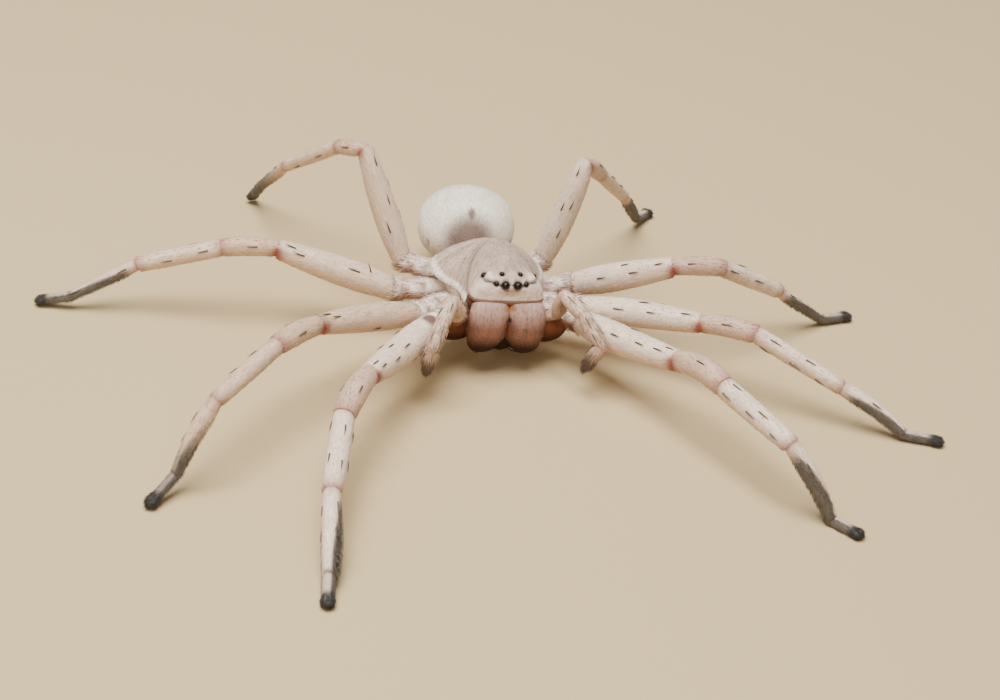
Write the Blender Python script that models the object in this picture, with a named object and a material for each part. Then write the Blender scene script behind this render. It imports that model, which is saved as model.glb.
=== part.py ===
"""Dancing white lady spider at life size, still, in a high-kneed display stance.

The spider faces -Y with its left side at +X and the floor at z = 0. Sizes below are in
millimetres and angles in degrees; MM turns them to metres. Every leg is worked out from its
hip, five segment lengths and the heading and slope of each segment.
"""

import math
import random

import bmesh
import bpy
from mathutils import Matrix, Vector

MM = 0.001
GAP = 0.3
HALF_GAP = GAP / 2
UP = Vector((0.0, 0.0, 1.0))

# Where the middle of the footprint lies, seen from the middle of the head-and-thorax.
FOOTPRINT_CENTRE = (-2.01, -4.86)

# The body leans a little to its left about its own long axis, at this height, and is
# turned a little to its right.
BODY_LEAN = 4.0
BODY_TURN = -3.0
BODY_HEIGHT = 5.0

# Legs, first pair to fourth: lengths and widths of femur, patella, tibia, metatarsus, tarsus.
SEGMENT_LENGTHS = {
    1: (12.4, 5.9, 8.5, 7.5, 3.1),
    2: (12.1, 5.2, 9.1, 7.0, 3.6),
    3: (11.6, 5.1, 8.2, 7.0, 3.4),
    4: (11.2, 4.5, 9.2, 7.8, 3.3),
}
SEGMENT_WIDTHS = {
    1: (2.95, 2.36, 2.10, 1.70, 1.22),
    2: (2.75, 2.15, 1.78, 1.58, 1.12),
    3: (2.85, 1.95, 1.80, 1.35, 1.15),
    4: (2.60, 1.70, 1.46, 1.20, 1.05),
}

# How far femur, patella, tibia and metatarsus arch up off a straight line at their middle.
BOWS = {
    1: (-0.25, 0.60, 0.0, 0.30),
    2: (0.15, 0.25, 0.0, 0.30),
    3: (0.0, 0.20, 0.0, 0.0),
    4: (-0.10, 0.05, 0.0, 0.0),
}

# Where each left coxa leaves the breastplate, on the body, and where each femur starts.
COXA_ROOTS = {1: (3.1, -2.0, 4.1), 2: (3.5, 0.0, 4.0), 3: (3.4, 1.9, 4.0), 4: (2.8, 3.7, 4.1)}
HIPS = {
    (1, "l"): (7.1, -5.7, 4.65),
    (2, "l"): (7.9, -3.0, 4.35),
    (3, "l"): (8.75, 1.85, 3.85),
    (4, "l"): (7.0, 6.1, 4.10),
    (1, "r"): (-7.1, -5.7, 5.30),
    (2, "r"): (-8.0, -3.15, 4.95),
    (3, "r"): (-8.5, 2.4, 4.20),
    (4, "r"): (-6.95, 5.9, 5.15),
}
COXA_WIDTH = 2.1

# The stance. A heading is turned forward from straight out to the leg's own side, and a
# slope is above level. The tarsus takes its slope from the floor that it reaches.
STANCE = {
    (1, "l"): ((62, 67, 66, 45, 56), (9.4, 6, -7.4, -51)),
    (2, "l"): ((37, 40, 36, 34, 25), (9.2, 7, -20, -27)),
    (3, "l"): ((45, -4, -13, -10, -8), (29.2, -7.2, -29, -37)),
    (4, "l"): ((6.5, -45.4, -48, -52, -45.4), (73, -37, -38.2, -43)),
    (1, "r"): ((50, 57, 72, 78, 76), (6.5, -6, -12, -25)),
    (2, "r"): ((29, 35, 45.8, 31.5, 39), (15.1, 1, -4.8, -53.6)),
    (3, "r"): ((-16.6, -13, -15, -6.3, -19), (16.4, -2.2, -17.8, -29.3)),
    (4, "r"): ((-48.5, -67.5, -60, -77.7, -74), (63, -20, -35.8, -42)),
}
TIP_HEIGHT = 0.46
LEG_SIDES = 10
FAN_REACH = 2.6
TUFT_WIDTH = 1.7
TUFT_HEIGHT = 1.16

# Leg spines: how far along the segment each stands, and how far round from the top of the
# leg towards its front. They lie back along the leg towards its tip.
SPINES = {
    "femur": ((0.20, 30), (0.34, -5), (0.44, 48), (0.60, 15), (0.74, 50), (0.42, -52), (0.64, -42)),
    "patella": ((0.46, 55), (0.50, -55)),
    "tibia": ((0.24, 50), (0.26, -50), (0.58, 58), (0.55, -45), (0.74, 10), (0.36, 118), (0.62, -118)),
    "metatarsus": ((0.20, 50), (0.24, -55), (0.48, 62), (0.52, -70)),
}
SPINE_LENGTH = 1.2
SPINE_WIDTH = 0.46
SPINE_TILT = 13.0
SPINE_SINK = 0.34
SLIVER = 0.004
SPINE_TRIES = 10
RAISED_SPINE = ((3, "r"), 0.24, 20, 62.0)

# Carapace, face to rear edge: y, half width, height of the edge, of the crown, and how
# full the arch between them is. 2 is an ellipse, less is a tent with spread edges.
CARAPACE_STATIONS = (
    (-6.60, 2.70, 7.85, 9.50, 2.6),
    (-6.45, 3.25, 7.65, 9.85, 2.5),
    (-6.00, 3.50, 7.60, 10.10, 2.3),
    (-5.30, 3.55, 7.60, 10.35, 2.1),
    (-4.95, 3.50, 7.60, 10.45, 2.1),
    (-3.90, 3.35, 5.95, 10.65, 2.2),
    (-2.80, 3.35, 5.95, 10.75, 2.2),
    (-1.60, 3.60, 5.95, 10.80, 1.9),
    (-0.40, 4.50, 5.95, 10.70, 1.5),
    (0.80, 5.15, 5.95, 10.25, 1.3),
    (2.00, 5.35, 5.95, 9.60, 1.3),
    (3.20, 5.00, 5.95, 8.85, 1.6),
    (4.30, 4.00, 5.95, 7.95, 1.8),
    (5.10, 2.60, 5.95, 7.15, 2.0),
    (5.50, 1.30, 5.95, 6.65, 2.0),
)
CARAPACE_SIDES = 20

# Breastplate between the coxae.
STERNUM_HALF_SIZE = (2.5, 3.3)
STERNUM_Y = 0.6
STERNUM_Z = (3.0, 5.65)

# Abdomen with the narrow waist that joins it to the thorax.
ABDOMEN_Y = (6.9, 17.2)
ABDOMEN_HALF_WIDTH = 4.88
ABDOMEN_HALF_HEIGHT = 3.64
ABDOMEN_Z = 5.3
ABDOMEN_SWING = 0.4
WAIST_START = 4.3
WAIST_WIDTH = 1.4
WAIST_Z = 4.9
ABDOMEN_SIDES = 18

# Eyes, left of each pair: place and radius.
EYES = {
    "anterior_median": ((0.58, -6.50, 9.42), 0.37),
    "anterior_lateral": ((1.40, -6.28, 9.45), 0.24),
    "posterior_median": ((0.86, -5.75, 10.15), 0.22),
    "posterior_lateral": ((2.35, -5.10, 9.60), 0.27),
}
EYE_GAP = 0.12

# Left chelicera, top to bottom: height, half width, half depth, middle's x and y. The pair
# stands a little to the left of the head's own middle.
CHELICERA_LEVELS = (
    (7.30, 1.46, 0.80, 1.72, -6.35),
    (6.60, 1.64, 1.02, 1.82, -6.50),
    (5.20, 1.66, 1.12, 1.84, -6.60),
    (3.90, 1.58, 1.05, 1.88, -6.55),
    (3.00, 1.30, 0.90, 2.00, -6.45),
    (2.40, 0.80, 0.50, 2.10, -6.35),
)
CHELICERA_SHIFT = 0.15
FANG_PATH = ((2.1, -5.9, 1.75), (1.5, -5.5, 1.70), (0.9, -5.35, 1.85), (0.4, -5.4, 2.1))
FANG_RADII = (0.30, 0.27, 0.18, 0.06)

# Palps: root behind the chelicera, on the body, then each palp's own stance with its hip,
# its knee and the ends of patella, tibia and tarsus.
PALP_ROOT = (2.9, -4.1, 4.35)
PALP_PATHS = {
    "l": ((4.70, -5.95, 5.6), (4.9, -7.2, 8.4), (6.05, -9.3, 7.6), (7.4, -11.35, 5.5), (6.05, -11.2, 2.7)),
    "r": ((-4.70, -6.15, 6.25), (-5.8, -7.3, 8.5), (-7.1, -9.4, 7.8), (-8.3, -10.9, 6.2), (-8.6, -10.6, 3.3)),
}
PALP_WIDTHS = (1.1, 1.5, 1.6, 1.5, 1.25)

# Spinnerets under the abdomen's rear end.
SPINNERET_BASE = (0.40, 16.75, 3.2)
SPINNERET_WIDTH = 0.7
SPINNERET_LENGTH = 1.2

COLOURS = {
    "hair_cream": (0.80, 0.72, 0.65),
    "carapace_beige": (0.66, 0.55, 0.48),
    "chelicera_mauve": (0.48, 0.34, 0.30),
    "abdomen_cream": (0.82, 0.78, 0.70),
    "fang_black": (0.05, 0.02, 0.02),
    "eye_black": (0.01, 0.01, 0.01),
}
ROUGHNESS = {"eye_black": 0.1, "fang_black": 0.35}
DEFAULT_ROUGHNESS = 0.8


def clear_scene():
    """Remove whatever the scene starts with."""
    for thing in list(bpy.data.objects):
        bpy.data.objects.remove(thing, do_unlink=True)


def new_collection(name):
    """A collection linked under the scene's own."""
    collection = bpy.data.collections.new(name)
    bpy.context.scene.collection.children.link(collection)
    return collection


def new_material(name):
    """A Principled material in one of the spider's colours."""
    material = bpy.data.materials.new(name)
    material.use_nodes = True
    shader = material.node_tree.nodes["Principled BSDF"]
    shader.inputs["Base Color"].default_value = (*COLOURS[name], 1.0)
    shader.inputs["Roughness"].default_value = ROUGHNESS.get(name, DEFAULT_ROUGHNESS)
    shader.inputs["Metallic"].default_value = 0.0
    return material


def metres(point):
    """A point in millimetres as a vector in metres."""
    return Vector(point) * MM


def mirrored(point, side):
    """A left-hand point on the side that is asked for."""
    return (point[0] if side == "l" else -point[0], point[1], point[2])


def body_pose():
    """The body's lean about its long axis, at the height of its middle, then its turn."""
    pivot = metres((0.0, 0.0, BODY_HEIGHT))
    lean = Matrix.Rotation(math.radians(BODY_LEAN), 4, "Y")
    turn = Matrix.Rotation(math.radians(BODY_TURN), 4, "Z")
    return Matrix.Translation(pivot) @ turn @ lean @ Matrix.Translation(-pivot)


def swell(t, base, peak, peak_at, tip):
    """A limb's thickness at t, from its base through its thickest place to its tip."""
    if t < peak_at:
        return base + (peak - base) * math.sin(math.pi / 2 * t / peak_at)
    return tip + (peak - tip) * math.cos(math.pi / 2 * (t - peak_at) / (1 - peak_at))


def section(centre, along, half_width, half_height, sides, power=2.0):
    """A closed ring about centre, square to along, its first point level with the centre."""
    side = along.cross(UP).normalized()
    rise = side.cross(along).normalized()
    points = []
    for step in range(sides):
        angle = math.tau * step / sides
        cosine, sine = math.cos(angle), math.sin(angle)
        x = math.copysign(abs(cosine) ** (2 / power), cosine) * half_width
        y = math.copysign(abs(sine) ** (2 / power), sine) * half_height
        points.append(centre + side * x + rise * y)
    return points


def loft(name, rings, material, collection, parent):
    """One closed body through a row of rings, with flat ends."""
    mesh = bmesh.new()
    rows = [[mesh.verts.new(point) for point in ring] for ring in rings]
    count = len(rows[0])
    for near, far in zip(rows, rows[1:]):
        for step in range(count):
            after = (step + 1) % count
            mesh.faces.new((near[step], near[after], far[after], far[step]))
    mesh.faces.new(rows[0])
    mesh.faces.new(rows[-1])
    bmesh.ops.recalc_face_normals(mesh, faces=mesh.faces)
    data = bpy.data.meshes.new(name)
    mesh.to_mesh(data)
    mesh.free()
    return place(name, data, material, collection, parent)


def place(name, data, material, collection, parent):
    """An object for the mesh, in its material, collection and parent."""
    data.materials.append(material)
    data.shade_smooth()
    data.set_sharp_from_angle(angle=math.radians(50))
    piece = bpy.data.objects.new(name, data)
    collection.objects.link(piece)
    piece.parent = parent
    return piece


def unit(vector):
    """The vector at length one."""
    return vector.normalized()


def limb_rings(start, end, plane_in, plane_out, radius, stations, bow):
    """Rings from one joint to the next, square to the limb but for its two joint faces.

    The first and last ring lie in the planes that halve the bends at the joints, each half
    a gap short of its joint, and the rings near them fan out so that none cross. radius
    gives half width and half height at t.
    """
    along = end - start
    length = along.length
    direction = unit(along)
    rise = unit(direction.cross(UP).cross(direction))
    rings = [section(start + plane_in * HALF_GAP * MM, plane_in, *radius(0.0), LEG_SIDES)]
    for t in stations:
        arch = math.sin(math.pi * t) * bow * MM
        slope = math.cos(math.pi * t) * math.pi * bow * MM / length
        centre = start + along * t + rise * arch
        aim = fanned(direction, plane_in, t * length, radius(0.0)[0])
        aim = fanned(aim, plane_out, (1 - t) * length, radius(1.0)[0])
        rings.append(section(centre, unit(aim + rise * slope), *radius(t), LEG_SIDES))
    rings.append(section(end - plane_out * HALF_GAP * MM, plane_out, *radius(1.0), LEG_SIDES))
    return rings


def fanned(direction, plane, distance, half_width):
    """The aim of a ring, turned towards a joint's plane the nearer it stands to the joint."""
    share = max(0.0, 1 - distance / (half_width * FAN_REACH))
    return unit(direction.lerp(plane, share))


def leg_joints(pair, side):
    """The six joints of a leg, hip to tip, from its lengths and its stance."""
    hand = 1 if side == "l" else -1
    headings, slopes = STANCE[(pair, side)]
    joints = [metres(HIPS[(pair, side)])]
    for index, length in enumerate(SEGMENT_LENGTHS[pair]):
        heading = math.radians(headings[index])
        if index < len(slopes):
            slope = math.radians(slopes[index])
        else:
            slope = math.asin((TIP_HEIGHT * MM - joints[-1].z) / (length * MM))
        step = Vector((
            hand * math.cos(heading) * math.cos(slope),
            -math.sin(heading) * math.cos(slope),
            math.sin(slope),
        ))
        joints.append(joints[-1] + step * length * MM)
    return joints


def rest_on_floor(rings):
    """Lift every point that lies under the floor up to it, which leaves a small flat."""
    for ring in rings:
        for point in ring:
            point.z = max(point.z, 0.0)
    return rings


def femur_radius(width):
    """Half sizes along a femur: fullest before its middle, narrow at the knee."""
    def at(t):
        half = swell(t, 0.78, 1.0, 0.36, 0.70) * width / 2 * MM
        return half, half
    return at


def patella_radius(width):
    """Half sizes along a patella: pinched at the knee."""
    def at(t):
        half = swell(t, 0.80, 1.0, 0.6, 0.90) * width / 2 * MM
        return half, half
    return at


def tibia_radius(width):
    """Half sizes along a tibia: almost even."""
    def at(t):
        half = swell(t, 0.98, 1.0, 0.3, 0.88) * width / 2 * MM
        return half, half
    return at


def metatarsus_radius(width):
    """Half sizes along a metatarsus: it thins towards the ankle."""
    def at(t):
        half = swell(t, 0.90, 1.0, 0.2, 0.72) * width / 2 * MM
        return half, half
    return at


def foot_rings(joints, planes, widths, bow):
    """Rings of metatarsus, ankle and tarsus, ending in the broad tuft round the claws."""
    toe_width = widths[4] / 2 * MM
    shank = metatarsus_radius(widths[3])
    rings = limb_rings(joints[3], joints[4], planes[3], planes[4], shank, (0.15, 0.5, 0.85), bow)
    rings.pop()
    rings.append(section(joints[4], planes[4], toe_width, toe_width, LEG_SIDES))
    toe = joints[5] - joints[4]
    flat = unit(Vector((toe.x, toe.y, 0.0)))
    tuft = (TUFT_WIDTH / 2 * MM, TUFT_HEIGHT / 2 * MM)
    rings.append(section(joints[4] + toe * 0.5, unit(toe), toe_width, toe_width, LEG_SIDES))
    rings.append(section(joints[4] + toe * 0.74, flat, toe_width * 1.1, tuft[1] * 0.95, LEG_SIDES))
    tip = Vector((joints[5].x, joints[5].y, TIP_HEIGHT * MM))
    rings.append(section(tip - flat * 0.35 * MM, flat, *tuft, LEG_SIDES))
    rings.append(section(tip, flat, tuft[0] * 0.9, tuft[1] * 0.95, LEG_SIDES))
    rings.append(section(tip + flat * 0.25 * MM, flat, tuft[0] * 0.5, tuft[1] * 0.6, LEG_SIDES))
    return rest_on_floor(rings)


def coxa_rings(root, hip, plane_out):
    """Rings of coxa and trochanter, with the waist where the two meet."""
    along = hip - root
    direction = unit(along)
    half = COXA_WIDTH / 2 * MM
    rings = []
    for t, scale in ((0.0, 0.68), (0.3, 0.84), (0.62, 0.96), (0.70, 0.84), (0.86, 1.0)):
        aim = fanned(direction, plane_out, (1 - t) * along.length, half)
        rings.append(section(root + along * t, aim, half * scale, half * scale, LEG_SIDES))
    end = hip - plane_out * HALF_GAP * MM
    rings.append(section(end, plane_out, half * 0.92, half * 0.92, LEG_SIDES))
    return rings


def spine(start, end, half, bow, t, turn, tilt, collection, parent):
    """One tapered spine, four sided, with its root sunk in the limb at t and turn."""
    along = unit(end - start)
    side = unit(along.cross(UP))
    rise = unit(side.cross(along))
    angle = math.radians(turn)
    out = rise * math.cos(angle) + side * math.sin(angle)
    lean = math.radians(tilt)
    aim = along * math.cos(lean) + out * math.sin(lean)
    across = unit(along.cross(out))
    thick = unit(across.cross(aim))
    middle = start.lerp(end, t) + rise * math.sin(math.pi * t) * bow * MM
    skin = middle + out * half
    width = SPINE_WIDTH / 2 * MM
    length = SPINE_LENGTH * random.uniform(0.86, 1.12) * MM
    mesh = bmesh.new()
    rows = []
    for centre, scale in ((skin - out * SPINE_SINK * MM, 1.15), (skin + aim * length * 0.45, 0.85)):
        rows.append([mesh.verts.new(centre + (across * x + thick * y) * width * scale)
                     for x, y in ((1, 0), (0, 1), (-1, 0), (0, -1))])
    tip = mesh.verts.new(skin + aim * length)
    for step in range(4):
        after = (step + 1) % 4
        mesh.faces.new((rows[0][step], rows[0][after], rows[1][after], rows[1][step]))
        mesh.faces.new((rows[1][step], rows[1][after], tip))
    mesh.faces.new(rows[0])
    bmesh.ops.recalc_face_normals(mesh, faces=mesh.faces)
    data = bpy.data.meshes.new("spine")
    mesh.to_mesh(data)
    mesh.free()
    piece = bpy.data.objects.new("spine", data)
    collection.objects.link(piece)
    piece.parent = parent


def keep_largest(mesh):
    """Drop all but the largest closed surface of a mesh."""
    seen = set()
    surfaces = []
    for start in mesh.faces:
        if start in seen:
            continue
        seen.add(start)
        surface, edge = [start], [start]
        while edge:
            face = edge.pop()
            for link in face.edges:
                for near in link.link_faces:
                    if near not in seen:
                        seen.add(near)
                        surface.append(near)
                        edge.append(near)
        surfaces.append(surface)
    surfaces.sort(key=lambda surface: sum(face.calc_area() for face in surface))
    for surface in surfaces[:-1]:
        bmesh.ops.delete(mesh, geom=surface, context="FACES")


def fuse(node, spines):
    """Join a node's spines to it as one closed body, or leave it bare and say so."""
    join = node.modifiers.new("spines", "BOOLEAN")
    join.operation = "UNION"
    join.operand_type = "COLLECTION"
    join.collection = spines
    join.solver = "EXACT"
    bpy.context.view_layer.update()
    joined = node.evaluated_get(bpy.context.evaluated_depsgraph_get())
    mesh = bmesh.new()
    mesh.from_mesh(joined.to_mesh())
    joined.to_mesh_clear()
    node.modifiers.clear()
    keep_largest(mesh)
    bmesh.ops.dissolve_degenerate(mesh, edges=mesh.edges, dist=SLIVER * MM)
    bmesh.ops.triangulate(mesh, faces=mesh.faces)
    bmesh.ops.remove_doubles(mesh, verts=mesh.verts, dist=SLIVER * MM)
    closed = all(edge.is_manifold for edge in mesh.edges)
    if closed:
        mesh.to_mesh(node.data)
    mesh.free()
    for piece in list(spines.objects):
        bpy.data.objects.remove(piece, do_unlink=True)
    return closed


def add_spines(node, segment, pair, side, start, end, radius, bow, spines, root):
    """Set a segment's spines on it, varied a little until they fuse cleanly."""
    hand = 1 if side == "l" else -1
    for _ in range(SPINE_TRIES):
        for t, turn in SPINES[segment]:
            t += random.uniform(-0.03, 0.03)
            turn = hand * (turn + random.uniform(-9, 9))
            tilt = SPINE_TILT + random.uniform(-3, 4)
            spine(start, end, radius(t)[0], bow, t, turn, tilt, spines, root)
        if segment == "femur" and (pair, side) == RAISED_SPINE[0]:
            t, turn, tilt = RAISED_SPINE[1:]
            spine(start, end, radius(t)[0], bow, t, hand * turn, tilt, spines, root)
        if fuse(node, spines):
            return


def build_leg(pair, side, materials, collection, spines, root):
    """One leg in five nodes, from the coxa to the foot, each long one with its spines."""
    joints = leg_joints(pair, side)
    widths = SEGMENT_WIDTHS[pair]
    bows = BOWS[pair]
    steps = [unit(far - near) for near, far in zip(joints, joints[1:])]
    coxa_root = body_pose() @ metres(mirrored(COXA_ROOTS[pair], side))
    coxa_step = unit(joints[0] - coxa_root)
    planes = [unit(near + far) for near, far in zip([coxa_step] + steps, steps)]
    name = f"leg_{pair}_{side}_"
    skin = materials["hair_cream"]
    loft(name + "coxa", coxa_rings(coxa_root, joints[0], planes[0]), skin, collection, root)
    femur = limb_rings(joints[0], joints[1], planes[0], planes[1], femur_radius(widths[0]),
                       (0.10, 0.25, 0.45, 0.68, 0.90), bows[0])
    patella = limb_rings(joints[1], joints[2], planes[1], planes[2], patella_radius(widths[1]),
                         (0.22, 0.5, 0.8), bows[1])
    tibia = limb_rings(joints[2], joints[3], planes[2], planes[3], tibia_radius(widths[2]),
                       (0.12, 0.4, 0.88), bows[2])
    foot = foot_rings(joints, planes, widths, bows[3])
    segments = (
        ("femur", "femur", femur, femur_radius(widths[0])),
        ("patella", "patella", patella, patella_radius(widths[1])),
        ("tibia", "tibia", tibia, tibia_radius(widths[2])),
        ("foot", "metatarsus", foot, metatarsus_radius(widths[3])),
    )
    for index, (node_name, segment, rings, radius) in enumerate(segments):
        node = loft(name + node_name, rings, skin, collection, root)
        start, end = joints[index], joints[index + 1]
        add_spines(node, segment, pair, side, start, end, radius, bows[index], spines, root)


def carapace_section(y, half, bottom, top, fullness):
    """One arched ring of the carapace at y, all but flat underneath."""
    ring = []
    for step in range(CARAPACE_SIDES):
        angle = math.tau * step / CARAPACE_SIDES
        cosine, sine = math.cos(angle), math.sin(angle)
        x = math.copysign(abs(cosine) ** (2 / fullness), cosine) * half
        rise = max(0.0, sine) ** (2 / fullness) * (top - bottom)
        sink = min(0.0, sine) * 0.12
        ring.append(metres((x, y, bottom + rise + sink)))
    return ring


def build_carapace(materials, collection, cutters, body):
    """The carapace, with a socket for each eye."""
    rings = [carapace_section(*station) for station in CARAPACE_STATIONS]
    carapace = loft("carapace", rings, materials["carapace_beige"], collection, body)
    sockets = bpy.data.collections.new("eye_sockets")
    cutters.children.link(sockets)
    for centre, radius in EYES.values():
        for side in "lr":
            socket = ball("socket", mirrored(centre, side), radius + EYE_GAP, sockets, body)
            socket.hide_render = True
            socket.display_type = "WIRE"
    cut = carapace.modifiers.new("eye_sockets", "BOOLEAN")
    cut.operation = "DIFFERENCE"
    cut.operand_type = "COLLECTION"
    cut.collection = sockets
    cut.solver = "EXACT"
    return carapace


def ball(name, centre, radius, collection, parent):
    """A small round ball at a place given in millimetres."""
    mesh = bmesh.new()
    bmesh.ops.create_icosphere(mesh, subdivisions=2, radius=radius * MM)
    data = bpy.data.meshes.new(name)
    mesh.to_mesh(data)
    mesh.free()
    data.shade_smooth()
    piece = bpy.data.objects.new(name, data)
    piece.location = metres(centre)
    collection.objects.link(piece)
    piece.parent = parent
    return piece


def build_eyes(materials, collection, body):
    """Eight eyes in two rows."""
    for row, (centre, radius) in EYES.items():
        for side in "lr":
            eye = ball(f"eye_{row}_{side}", mirrored(centre, side), radius, collection, body)
            eye.data.materials.append(materials["eye_black"])


def build_sternum(materials, collection, body):
    """The breastplate, an oval plug between the coxae, slightly crowned below."""
    low, high = STERNUM_Z
    wide, long = STERNUM_HALF_SIZE
    levels = ((low, 0.62), (low + 0.25, 0.88), (low + 0.6, 1.0), (high, 0.94))
    rings = []
    for height, scale in levels:
        centre = metres((0.0, STERNUM_Y, height))
        ring = []
        for step in range(14):
            angle = math.tau * step / 14
            offset = (wide * scale * math.cos(angle), long * scale * math.sin(angle), 0.0)
            ring.append(centre + metres(offset))
        rings.append(ring)
    loft("sternum", rings, materials["hair_cream"], collection, body)


def build_abdomen(materials, collection, body):
    """The egg-shaped abdomen, with the waist as its front end."""
    start, end = ABDOMEN_Y
    rings = []
    for y in (WAIST_START, start - 0.9):
        half = WAIST_WIDTH / 2 * MM
        centre = metres((0.0, y, WAIST_Z))
        rings.append(section(centre, Vector((0.0, 1.0, 0.0)), half, half, ABDOMEN_SIDES))
    count = 12
    for step in range(1, count):
        t = 0.5 - 0.5 * math.cos(math.pi * step / count)
        girth = math.sin(math.pi * t ** 1.08) ** 0.62
        y = start + (end - start) * t
        swing = ABDOMEN_SWING * math.sin(math.pi / 2 * t)
        settle = (WAIST_Z - ABDOMEN_Z) * (1 - t) ** 3
        centre = metres((swing, y, ABDOMEN_Z + settle))
        half_width = ABDOMEN_HALF_WIDTH * girth * MM
        half_height = ABDOMEN_HALF_HEIGHT * girth * MM
        rings.append(section(centre, Vector((0.0, 1.0, 0.0)), half_width, half_height, ABDOMEN_SIDES))
    loft("abdomen", rings, materials["abdomen_cream"], collection, body)


def build_chelicerae(materials, collection, body):
    """The two upright jaws and the fang folded under each."""
    shift = metres((CHELICERA_SHIFT, 0.0, 0.0))
    for side in "lr":
        rings = []
        for height, half_width, half_depth, x, y in CHELICERA_LEVELS:
            centre = metres(mirrored((x, y, height), side)) + shift
            ring = []
            for step in range(12):
                angle = math.tau * step / 12
                cosine, sine = math.cos(angle), math.sin(angle)
                across = math.copysign(abs(cosine) ** 0.8, cosine) * half_width
                deep = math.copysign(abs(sine) ** 0.8, sine) * half_depth
                ring.append(centre + metres((across, deep, 0.0)))
            rings.append(ring)
        loft(f"chelicera_{side}", rings, materials["chelicera_mauve"], collection, body)
        path = [metres(mirrored(point, side)) + shift for point in FANG_PATH]
        steps = [unit(far - near) for near, far in zip(path, path[1:])]
        aims = [steps[0]] + [unit(near + far) for near, far in zip(steps, steps[1:])] + [steps[-1]]
        rings = [section(point, aim, radius * MM, radius * MM, 8)
                 for point, aim, radius in zip(path, aims, FANG_RADII)]
        loft(f"fang_{side}", rings, materials["fang_black"], collection, body)


def build_palps(materials, collection, root_frame):
    """The two palps, each parted at its knee."""
    for side in "lr":
        hip, knee, patella_end, tibia_end, tip = [metres(point) for point in PALP_PATHS[side]]
        root = body_pose() @ metres(mirrored(PALP_ROOT, side))
        path = [root, hip, knee, patella_end, tibia_end, tip]
        steps = [unit(far - near) for near, far in zip(path, path[1:])]
        planes = [unit(near + far) for near, far in zip(steps, steps[1:])]
        half = [width / 2 * MM for width in PALP_WIDTHS]
        upper = [
            section(root, steps[0], half[0], half[0], LEG_SIDES),
            section(hip, planes[0], half[0], half[0], LEG_SIDES),
            section(hip.lerp(knee, 0.4), steps[1], half[2], half[2], LEG_SIDES),
            section(hip.lerp(knee, 0.75), steps[1], half[2], half[2], LEG_SIDES),
            section(knee - planes[1] * HALF_GAP * MM, planes[1], half[1], half[1], LEG_SIDES),
        ]
        lower = [
            section(knee + planes[1] * HALF_GAP * MM, planes[1], half[1], half[1], LEG_SIDES),
            section(knee.lerp(patella_end, 0.6), steps[2], half[2], half[2], LEG_SIDES),
            section(patella_end, planes[2], half[2], half[2], LEG_SIDES),
            section(patella_end.lerp(tibia_end, 0.5), steps[3], half[3], half[3], LEG_SIDES),
            section(tibia_end, planes[3], half[3], half[3], LEG_SIDES),
            section(tibia_end.lerp(tip, 0.4), steps[4], half[3], half[3], LEG_SIDES),
            section(tibia_end.lerp(tip, 0.8), steps[4], half[4], half[4], LEG_SIDES),
            section(tip, steps[4], half[4] * 0.5, half[4] * 0.5, LEG_SIDES),
        ]
        skin = materials["hair_cream"]
        loft(f"palp_{side}_upper", upper, skin, collection, root_frame)
        loft(f"palp_{side}_lower", lower, skin, collection, root_frame)


def build_spinnerets(materials, collection, body):
    """A short pair of spinnerets fused at their base."""
    x, y, z = SPINNERET_BASE
    half = SPINNERET_WIDTH / 2
    back = unit(Vector((0.0, 1.0, -0.55)))
    rings = []
    for reach, wide, high in ((0.0, 1.9, 1.0), (0.35, 2.1, 1.2), (0.8, 1.7, 1.0), (1.0, 1.1, 0.6)):
        centre = metres((x, y, z)) + back * reach * SPINNERET_LENGTH * MM
        rings.append(section(centre, back, wide * half * MM, high * half * MM, 12))
    loft("spinnerets", rings, materials["hair_cream"], collection, body)


def main():
    """Build the spider."""
    clear_scene()
    random.seed(9)
    spider = new_collection("dancing_white_lady_spider")
    cutters = new_collection("cutters")
    materials = {name: new_material(name) for name in COLOURS}
    root = bpy.data.objects.new("spider", None)
    spider.objects.link(root)
    root.location = metres((-FOOTPRINT_CENTRE[0], -FOOTPRINT_CENTRE[1], 0.0))
    body = bpy.data.objects.new("body", None)
    spider.objects.link(body)
    body.parent = root
    pose = body_pose()
    body.location = pose.to_translation()
    body.rotation_euler = pose.to_euler()
    build_carapace(materials, spider, cutters, body)
    build_eyes(materials, spider, body)
    build_sternum(materials, spider, body)
    build_abdomen(materials, spider, body)
    build_spinnerets(materials, spider, body)
    build_chelicerae(materials, spider, body)
    build_palps(materials, spider, root)
    spines = bpy.data.collections.new("spines")
    cutters.children.link(spines)
    for pair, side in STANCE:
        build_leg(pair, side, materials, spider, spines, root)
    bpy.data.collections.remove(spines)
    bpy.context.view_layer.update()


main()
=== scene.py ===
"""Looks of the still, life-size dancing white lady spider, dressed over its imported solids.

Everything is worked out in millimetres in the spider's own frame (it faces -Y, its left
side is +X, the floor is z = 0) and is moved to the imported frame, in metres, when a mesh is
made. Each part of the skin is a Sheath, a grid of rows round its own axis, that also knows
the tint, the lie and the length of the hair on it.
"""

from __future__ import annotations

import logging
import math
from collections import defaultdict
from dataclasses import dataclass, field
from enum import Enum, IntEnum
from typing import Any

import bpy
import numpy as np
from mathutils import Matrix


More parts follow.
